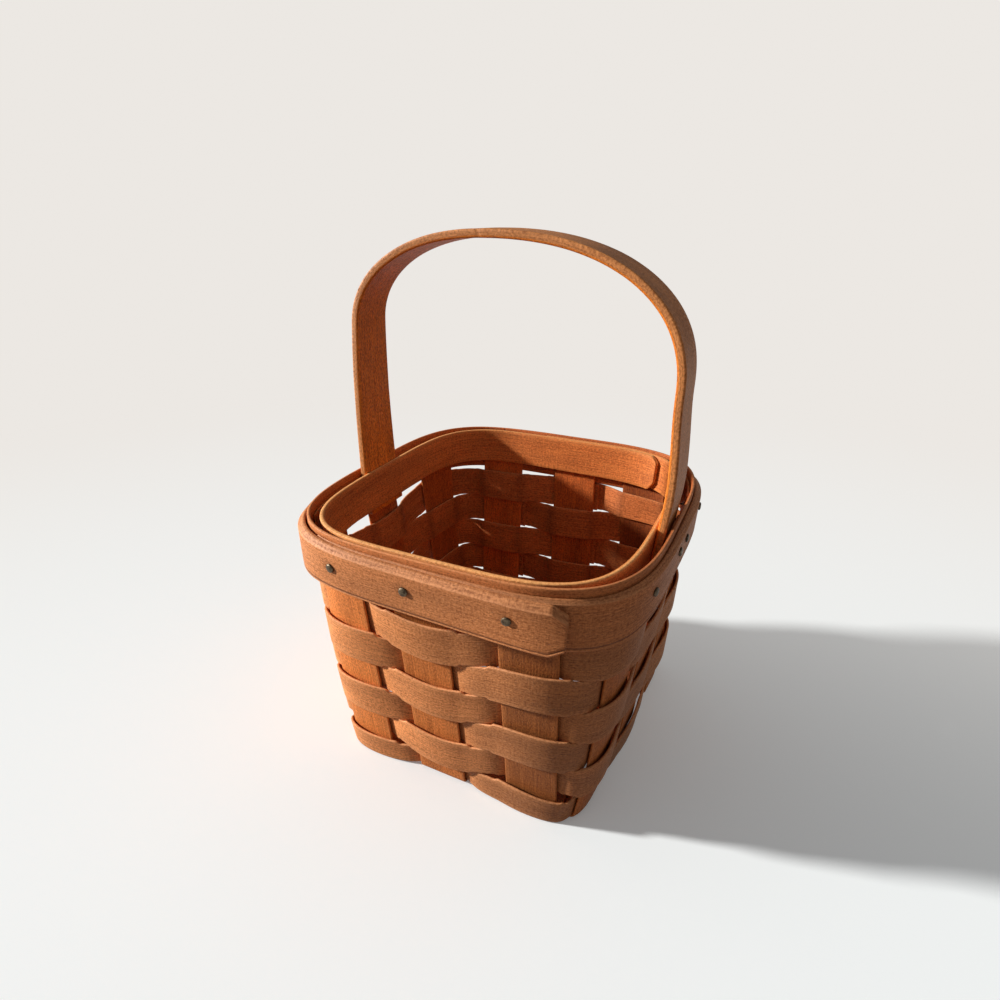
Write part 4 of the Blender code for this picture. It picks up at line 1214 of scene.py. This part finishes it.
def inner_band_sheet(scene):
    """Sheet of the inner band with softened edges and a lapped, clipped end."""
    band = InnerBand(scene)
    bands = band.bands
    run = strip_run(band.length, 0.8 * MM)
    angle = band.outline.angle_at(run)[:, None]
    top_level = band.wall.rim_height - bands.inner_drop
    clip = np.maximum(0.0, 1.0 - (band.length - run) / bands.inner_corner) ** 1.5
    top = (top_level - clip * bands.inner_corner_drop)[:, None]
    foot = (top_level - bands.inner_height + clip * bands.inner_corner_rise)[:, None]
    share = spaced_columns(bands.inner_height, COLUMN_SPACING) / bands.inner_height
    z = foot + (top - foot) * share[None, :]
    near = band.climb(run)[:, None]
    front = band.points(angle, z, near)
    back = band.points(angle, z, near + band.thickness(run)[:, None])
    sheet = Sheet(front, back, run, z[0] - top_level, -0.04)
    sheet.soften_edges(0.55 * MM)
    return sheet


def handle_share(scene, z):
    """Share of the way from the rim up to the top of the handle."""
    rim = scene.basket_wall.rim_height
    return np.clip((z - rim) / (scene.basket_handle.top - rim), 0.0, 1.0)


def handle_side(scene, label, side):
    """Middle line of half the handle, from its foot to the top."""
    wall, splints, handle = scene.basket_wall, scene.basket_splints, scene.basket_handle
    reach, shoulder, fullness = (
        getattr(handle, f"{label}_{size}") for size in ("reach", "shoulder", "fullness")
    )
    foot_places, middle_places, bend_places = 60, 80, 150
    inset = seat_depth(splints) + handle.thickness / 2.0
    straight = wall.rim_height + handle.straight
    lean = (wall.rim_half - wall.base_half) / wall.rim_height
    z = np.linspace(handle.foot_end, straight, foot_places)[:-1]
    line = [np.stack((side * (half_size(wall, z) - inset), z), axis=-1)]
    t = np.linspace(0.0, 1.0, middle_places)[:-1]
    span = shoulder - straight
    x = bridge(t, half_size(wall, straight) - inset, lean * span, reach, 0.0)
    line.append(np.stack((side * x, straight + span * t), axis=-1))
    crown = handle.top - handle.thickness / 2.0
    turn = np.linspace(0.0, pi / 2.0, bend_places)[:-1]
    across = reach - side * handle.top_shift
    x = handle.top_shift + side * across * np.cos(turn) ** (2.0 / fullness)
    z = shoulder + (crown - shoulder) * np.sin(turn) ** (2.0 / fullness)
    line.append(np.stack((x, z), axis=-1))
    line = np.concatenate(line)
    foot_back = getattr(splints, label)[1]
    back = foot_back + (handle.top_back - foot_back) * handle_share(scene, line[:, 1])
    return np.stack((line[:, 0], back, line[:, 1]), axis=-1)


def handle_sheet(scene):
    """Sheet of the fixed handle bent from one flat strip."""
    handle = scene.basket_handle
    right = handle_side(scene, "right", 1.0)
    left = handle_side(scene, "left", -1.0)
    crown = handle.top - handle.thickness / 2.0
    line = np.concatenate((right, [[handle.top_shift, handle.top_back, crown]], left[::-1]))
    run = walked(line)
    even = strip_run(run[-1], 0.9 * MM)
    x, y, z = [np.interp(even, run, line[:, k])[:, None] for k in range(3)]
    rise_x, rise_z = (np.gradient(place, even, axis=0) for place in (x, z))
    size = np.hypot(rise_x, rise_z)
    width = handle.foot_width + (handle.top_width - handle.foot_width) * handle_share(scene, z)
    columns = spaced_columns(handle.foot_width, 1.5 * MM, ROUND_STEPS)
    across = (columns - handle.foot_width / 2.0)[None, :] * (width / handle.foot_width)
    side = np.minimum(columns, handle.foot_width - columns)[None, :]
    end = np.minimum(even, even[-1] - even)[:, None]
    depth = edge_ease(side, handle.edge_round, 0.45) * edge_ease(end, 0.6 * MM, 0.4)
    depth *= handle.thickness / 2.0

    def face(sign):
        lift = sign * depth / size
        return np.stack((x + rise_z * lift, y + across, z - rise_x * lift), axis=-1)

    sheet = Sheet(face(1.0), face(-1.0), even, columns)
    wear, wear_reach = 0.25, 0.8 * MM
    sheet.worn += wear * np.exp(-side / wear_reach)
    return sheet


class Tack:
    """Seat, direction and length of one tack."""

    def __init__(self, scene, place):
        height = scene.basket_tacks.height
        band, inner = OuterBand(scene), InnerBand(scene)
        x, y = upright_plan(band.wall, place, height)
        self.distance = band.reached(x, y)
        offset = float(band.inside(self.distance) + band.thickness(self.distance))
        self.seat, middle = (
            Vector(wall_points(band.wall, atan2(y, x), height, out)) for out in (offset, 0.0)
        )
        away = self.seat - middle
        self.away = Vector((away.x, away.y, 0.0)).normalized()
        d = inner.reached(self.seat.x, self.seat.y)
        depth = float(inner.climb(d) + inner.thickness(d))
        face = Vector(inner.points(atan2(self.seat.y, self.seat.x), height, depth))
        self.reach = (self.seat - face).dot(self.away)


def all_tacks(scene):
    """One tack to an upright, two to a handle foot."""
    splints, tacks = scene.basket_splints, scene.basket_tacks
    spots = []
    for side, across in upright_places(splints):
        if (side, across) in (("right", splints.right[1]), ("left", splints.left[1])):
            spots += [(side, across - tacks.spread), (side, across + tacks.spread)]
        elif across in (splints.front[1], splints.back[1]):
            spots.append((side, across))
        else:
            spots.append((side, across - copysign(tacks.inset, across)))
    return [Tack(scene, spot) for spot in spots]


def tack_tree():
    """Node tree that stands an uneven tack on every point."""
    numbers = {"Head Radius": 0.0, "Head Height": 0.0, "Shank Radius": 0.0, "Seed": 0}
    b = GeometryTree("Stand tacks", numbers)
    height, seed = b.given["Head Height"], b.given["Seed"]
    feeds = {"Vertices": 9, "Side Segments": 3, "Radius": b.given["Head Radius"], "Depth": height}
    head = b.node("GeometryNodeMeshCylinder", feeds, fill_type='NGON').outputs["Mesh"]

    # A head bulges low on its side and draws in towards its top.
    spot = b.node("GeometryNodeInputPosition").outputs[0]
    level = b.node("ShaderNodeSeparateXYZ", {"Vector": spot}).outputs["Z"]
    share = b.math('ADD', b.math('DIVIDE', level, height), 0.5)
    rounder = b.node("ShaderNodeFloatCurve", {"Value": share})
    curve = rounder.mapping.curves[0]
    curve.points[0].location = HEAD_PROFILE[0]
    curve.points[1].location = HEAD_PROFILE[-1]
    for point in HEAD_PROFILE[1:-1]:
        curve.points.new(*point)
    rounder.mapping.update()
    flat = b.vector('MULTIPLY', spot, (1.0, 1.0, 0.0))
    lift = b.node("ShaderNodeCombineXYZ", {"Z": b.math('MULTIPLY', share, height)}).outputs[0]
    placed = b.vector('ADD', b.vector('SCALE', flat, rounder.outputs[0]), lift)

    # Each head sits a little askew and has a size of its own.
    feeds = {0: (-HEAD_LEAN, -HEAD_LEAN, 0.0), 1: (HEAD_LEAN, HEAD_LEAN, HEAD_TURN), "Seed": seed}
    turn = b.node("FunctionNodeRandomValue", feeds, data_type='FLOAT_VECTOR').outputs[0]
    feeds = {2: HEAD_SIZES[0], 3: HEAD_SIZES[1], "Seed": seed}
    size = b.node("FunctionNodeRandomValue", feeds, data_type='FLOAT').outputs[1]
    feeds = {"Vector": b.named("away")}
    aim = b.node("FunctionNodeAlignRotationToVector", feeds, axis='Z').outputs[0]
    feeds = {"Instances": b.stand(b.move(head, placed), aim, size), "Rotation": turn}
    heads = b.node("GeometryNodeRotateInstances", feeds).outputs[0]

    feeds = {"Vertices": 8, "Radius Top": b.given["Shank Radius"], "Radius Bottom": POINT_RADIUS}
    cone = b.node("GeometryNodeMeshCone", {**feeds, "Depth": 1.0}, fill_type='NGON')
    feeds = {"Geometry": cone.outputs["Mesh"], "Translation": (0.0, 0.0, -1.0)}
    shank = b.node("GeometryNodeTransform", feeds).outputs[0]
    feeds = {"X": 1.0, "Y": 1.0, "Z": b.named("reach", 'FLOAT')}
    long = b.node("ShaderNodeCombineXYZ", feeds).outputs[0]
    return b.finish(b.joined(heads, b.stand(shank, aim, long)))


class BASKET_OT_long_splints(bpy.types.Operator):
    """Dress the six long splints that make the base and the uprights"""

    bl_idname = "basket.long_splints"
    bl_label = "Long splints"

    def execute(self, context):
        scene = context.scene
        for kind, first_shift in (("lengthwise", 0.0), ("crosswise", 3.1)):
            for index in range(3):
                sheet = splint_sheet(scene, index, kind == "lengthwise")
                name = f"{kind}_splint_{index + 1}"
                make_strip(scene, name, sheet, "splint", 0.7 * index + first_shift)
        return {'FINISHED'}


class BASKET_OT_weavers(bpy.types.Operator):
    """Dress the six weaver hoops"""

    bl_idname = "basket.weavers"
    bl_label = "Weavers"

    def execute(self, context):
        scene = context.scene
        for row in range(scene.basket_weavers.rows):
            sheet = weaver_sheet(scene, row)
            make_strip(scene, f"weaver_{row + 1}", sheet, "weaver", 10.0 + 0.9 * row)
        return {'FINISHED'}


class BASKET_OT_bands(bpy.types.Operator):
    """Dress the top strip, the outer band and the inner band"""

    bl_idname = "basket.bands"
    bl_label = "Rim bands"

    def execute(self, context):
        scene = context.scene
        sheets = {
            "top_strip": top_strip_sheet(scene),
            "outer_band": outer_band_sheet(scene, all_tacks(scene)),
            "inner_band": inner_band_sheet(scene),
        }
        for index, (name, sheet) in enumerate(sheets.items()):
            make_strip(scene, name, sheet, name, 20.0 + 2.0 * index)
        return {'FINISHED'}


class BASKET_OT_handle(bpy.types.Operator):
    """Dress the bent handle"""

    bl_idname = "basket.handle"
    bl_label = "Handle"

    def execute(self, context):
        scene = context.scene
        # Painted shade: the handle's underside takes a redder, less blue tint.
        looks = {"painted_shade_tint": HANDLE_PAINTED_SHADE, "coarse": 0.8, "shine": 0.5, "crossing": 0.04}
        make_strip(scene, "handle", handle_sheet(scene), "handle", 26.0, 0.3 * MM, **looks)
        return {'FINISHED'}


class BASKET_OT_tacks(bpy.types.Operator):
    """Dress the tacks that hold the bands and the handle"""

    bl_idname = "basket.tacks"
    bl_label = "Tacks"

    def execute(self, context):
        sizes = context.scene.basket_tacks
        tacks = all_tacks(context.scene)
        mesh = bpy.data.meshes.new("dressed_tacks")
        mesh.from_pydata([tuple(t.seat) for t in tacks], [], [])
        set_attribute(mesh, "away", [tuple(t.away) for t in tacks])
        set_attribute(mesh, "reach", [t.reach for t in tacks])
        colour = context.scene.basket_finish.metal
        values = {
            "Head Radius": sizes.head_radius,
            "Head Height": sizes.head_height,
            "Shank Radius": sizes.shank_radius,
            "Seed": sizes.seed,
            "Material": named_material("dressed_tack_metal", metal_material, colour),
        }
        item = plain_result(add_object("dressed_tacks", mesh), tack_tree(), values)
        dress(item, [f"tack_{k + 1:02d}" for k in range(len(tacks))])
        return {'FINISHED'}


def floor_material(stage):
    """Pale floor that fades into the backdrop far from the basket."""
    p = Paint("pale_floor")
    p.shade(Base_Color=linear_colour(stage.floor), Roughness=0.9, Specular_IOR_Level=0.1)
    dim = p.node("ShaderNodeBsdfDiffuse", {"Color": linear_colour(stage.bounce)}).outputs[0]
    glow, haze = (
        p.node("ShaderNodeEmission", {"Color": linear_colour(shade)}).outputs[0]
        for shade in (stage.backdrop, stage.haze)
    )
    away = p.vector('DISTANCE', p.node("ShaderNodeTexCoord").outputs["Object"], FADE_MIDDLE)
    feeds = {"Value": away, "From Min": FADE_START, "From Max": FADE_END}
    fade = p.node("ShaderNodeMapRange", feeds, interpolation_type='SMOOTHSTEP').outputs["Result"]
    path = p.node("ShaderNodeLightPath").outputs
    seen = p.math('MAXIMUM', path["Is Camera Ray"], path["Is Glossy Ray"])
    lifted = p.node("ShaderNodeAddShader", {0: p.shader.outputs[0], 1: haze}).outputs[0]
    near = p.node("ShaderNodeMixShader", {0: seen, 1: dim, 2: lifted}).outputs[0]
    feeds = {0: p.math('MULTIPLY', fade, seen), 1: near, 2: glow}
    mixed = p.node("ShaderNodeMixShader", feeds).outputs[0]
    p.feed(p.tree.nodes["Material Output"], "Surface", mixed)
    return p.material


def make_floor(stage):
    """One large flat floor."""
    mesh = bpy.data.meshes.new("floor")
    signs = ((-1, -1), (1, -1), (1, 1), (-1, 1))
    corners = [(x * FLOOR_REACH, y * FLOOR_REACH, 0.0) for x, y in signs]
    mesh.from_pydata(corners, [], [(0, 1, 2, 3)])
    mesh.materials.append(floor_material(stage))
    add_object("floor", mesh)


def make_world(stage):
    """Even light all round, with the backdrop's colour where the camera looks."""
    world = bpy.data.worlds.new("studio")
    bpy.context.scene.world = world
    world.use_nodes = True
    n = Nodes(world.node_tree)
    n.tree.nodes.clear()
    feeds = {"Color": SKY_COLOUR, "Strength": stage.fill_strength}
    light = n.node("ShaderNodeBackground", feeds).outputs[0]
    shown = n.node("ShaderNodeBackground", {"Color": linear_colour(stage.backdrop)}).outputs[0]
    seen = n.node("ShaderNodeLightPath").outputs["Is Camera Ray"]
    mixed = n.node("ShaderNodeMixShader", {0: seen, 1: light, 2: shown}).outputs[0]
    n.node("ShaderNodeOutputWorld", {"Surface": mixed})


def make_lamp(stage):
    """Main lamp from the left of the basket."""
    level = Vector((-cos(stage.key_turn), -sin(stage.key_turn), 0.0))
    toward = level * cos(stage.key_height) + Vector((0.0, 0.0, sin(stage.key_height)))
    data = bpy.data.lights.new("key", 'SUN')
    data.energy = stage.key_strength
    data.angle = stage.key_softness
    data.color = LAMP_COLOUR
    lamp = add_object("key", data)
    lamp.rotation_mode = 'QUATERNION'
    lamp.rotation_quaternion = toward.to_track_quat('Z', 'Y')


def make_camera(stage):
    """Camera at the place the photograph was taken from."""
    data = bpy.data.cameras.new("camera")
    data.lens = stage.lens
    data.sensor_fit = 'HORIZONTAL'
    data.sensor_width = 36.0
    data.clip_start = 0.01
    right = Vector(stage.camera_right).normalized()
    back = right.cross(Vector(stage.camera_up)).normalized()
    turn = Matrix((right, back.cross(right), back)).transposed()
    camera = add_object("camera", data)
    camera.matrix_world = Matrix.Translation(stage.camera_place) @ turn.to_4x4()
    bpy.context.scene.camera = camera


class BASKET_OT_stage(bpy.types.Operator):
    """Set the pale floor, the lamp and the camera"""

    bl_idname = "basket.stage"
    bl_label = "Stage"

    def execute(self, context):
        stage = context.scene.basket_stage
        context.scene.view_settings.view_transform = 'Standard'
        make_floor(stage)
        make_world(stage)
        make_lamp(stage)
        make_camera(stage)
        return {'FINISHED'}


class BASKET_PT_sidebar(bpy.types.Panel):
    """Lists the steps that dress the basket"""

    bl_idname = "BASKET_PT_sidebar"
    bl_label = "Square basket"
    bl_space_type = 'VIEW_3D'
    bl_region_type = 'UI'
    bl_category = "Basket"

    def draw(self, context):
        column = self.layout.column(align=True)
        for operator in OPERATORS:
            column.operator(operator.bl_idname)
        for label in GROUPS:
            group = getattr(context.scene, label)
            box = self.layout.box()
            box.label(text=type(group).__doc__)
            for prop in group.bl_rna.properties:
                if prop.identifier not in ("rna_type", "name"):
                    box.prop(group, prop.identifier)


GROUPS = {
    "basket_wall": BasketWall,
    "basket_splints": BasketSplints,
    "basket_weavers": BasketWeavers,
    "basket_bands": BasketBands,
    "basket_handle": BasketHandle,
    "basket_tacks": BasketTacks,
    "basket_finish": BasketFinish,
    "basket_stage": BasketStage,
}
OPERATORS = (
    BASKET_OT_stage,
    BASKET_OT_long_splints,
    BASKET_OT_weavers,
    BASKET_OT_bands,
    BASKET_OT_handle,
    BASKET_OT_tacks,
)


def register():
    """Make the settings, the operators and the panel known."""
    for label, group in GROUPS.items():
        bpy.utils.register_class(group)
        setattr(bpy.types.Scene, label, bpy.props.PointerProperty(type=group))
    for item in OPERATORS + (BASKET_PT_sidebar,):
        bpy.utils.register_class(item)


def unregister():
    """Take back what register made known."""
    for item in reversed(OPERATORS + (BASKET_PT_sidebar,)):
        bpy.utils.unregister_class(item)
    for label, group in reversed(list(GROUPS.items())):
        delattr(bpy.types.Scene, label)
        bpy.utils.unregister_class(group)


def main():
    """Dress the basket and set the stage."""
    register()
    bpy.ops.basket.stage()
    bpy.ops.basket.long_splints()
    bpy.ops.basket.weavers()
    bpy.ops.basket.bands()
    bpy.ops.basket.handle()
    bpy.ops.basket.tacks()


if __name__ == "__main__":
    main()
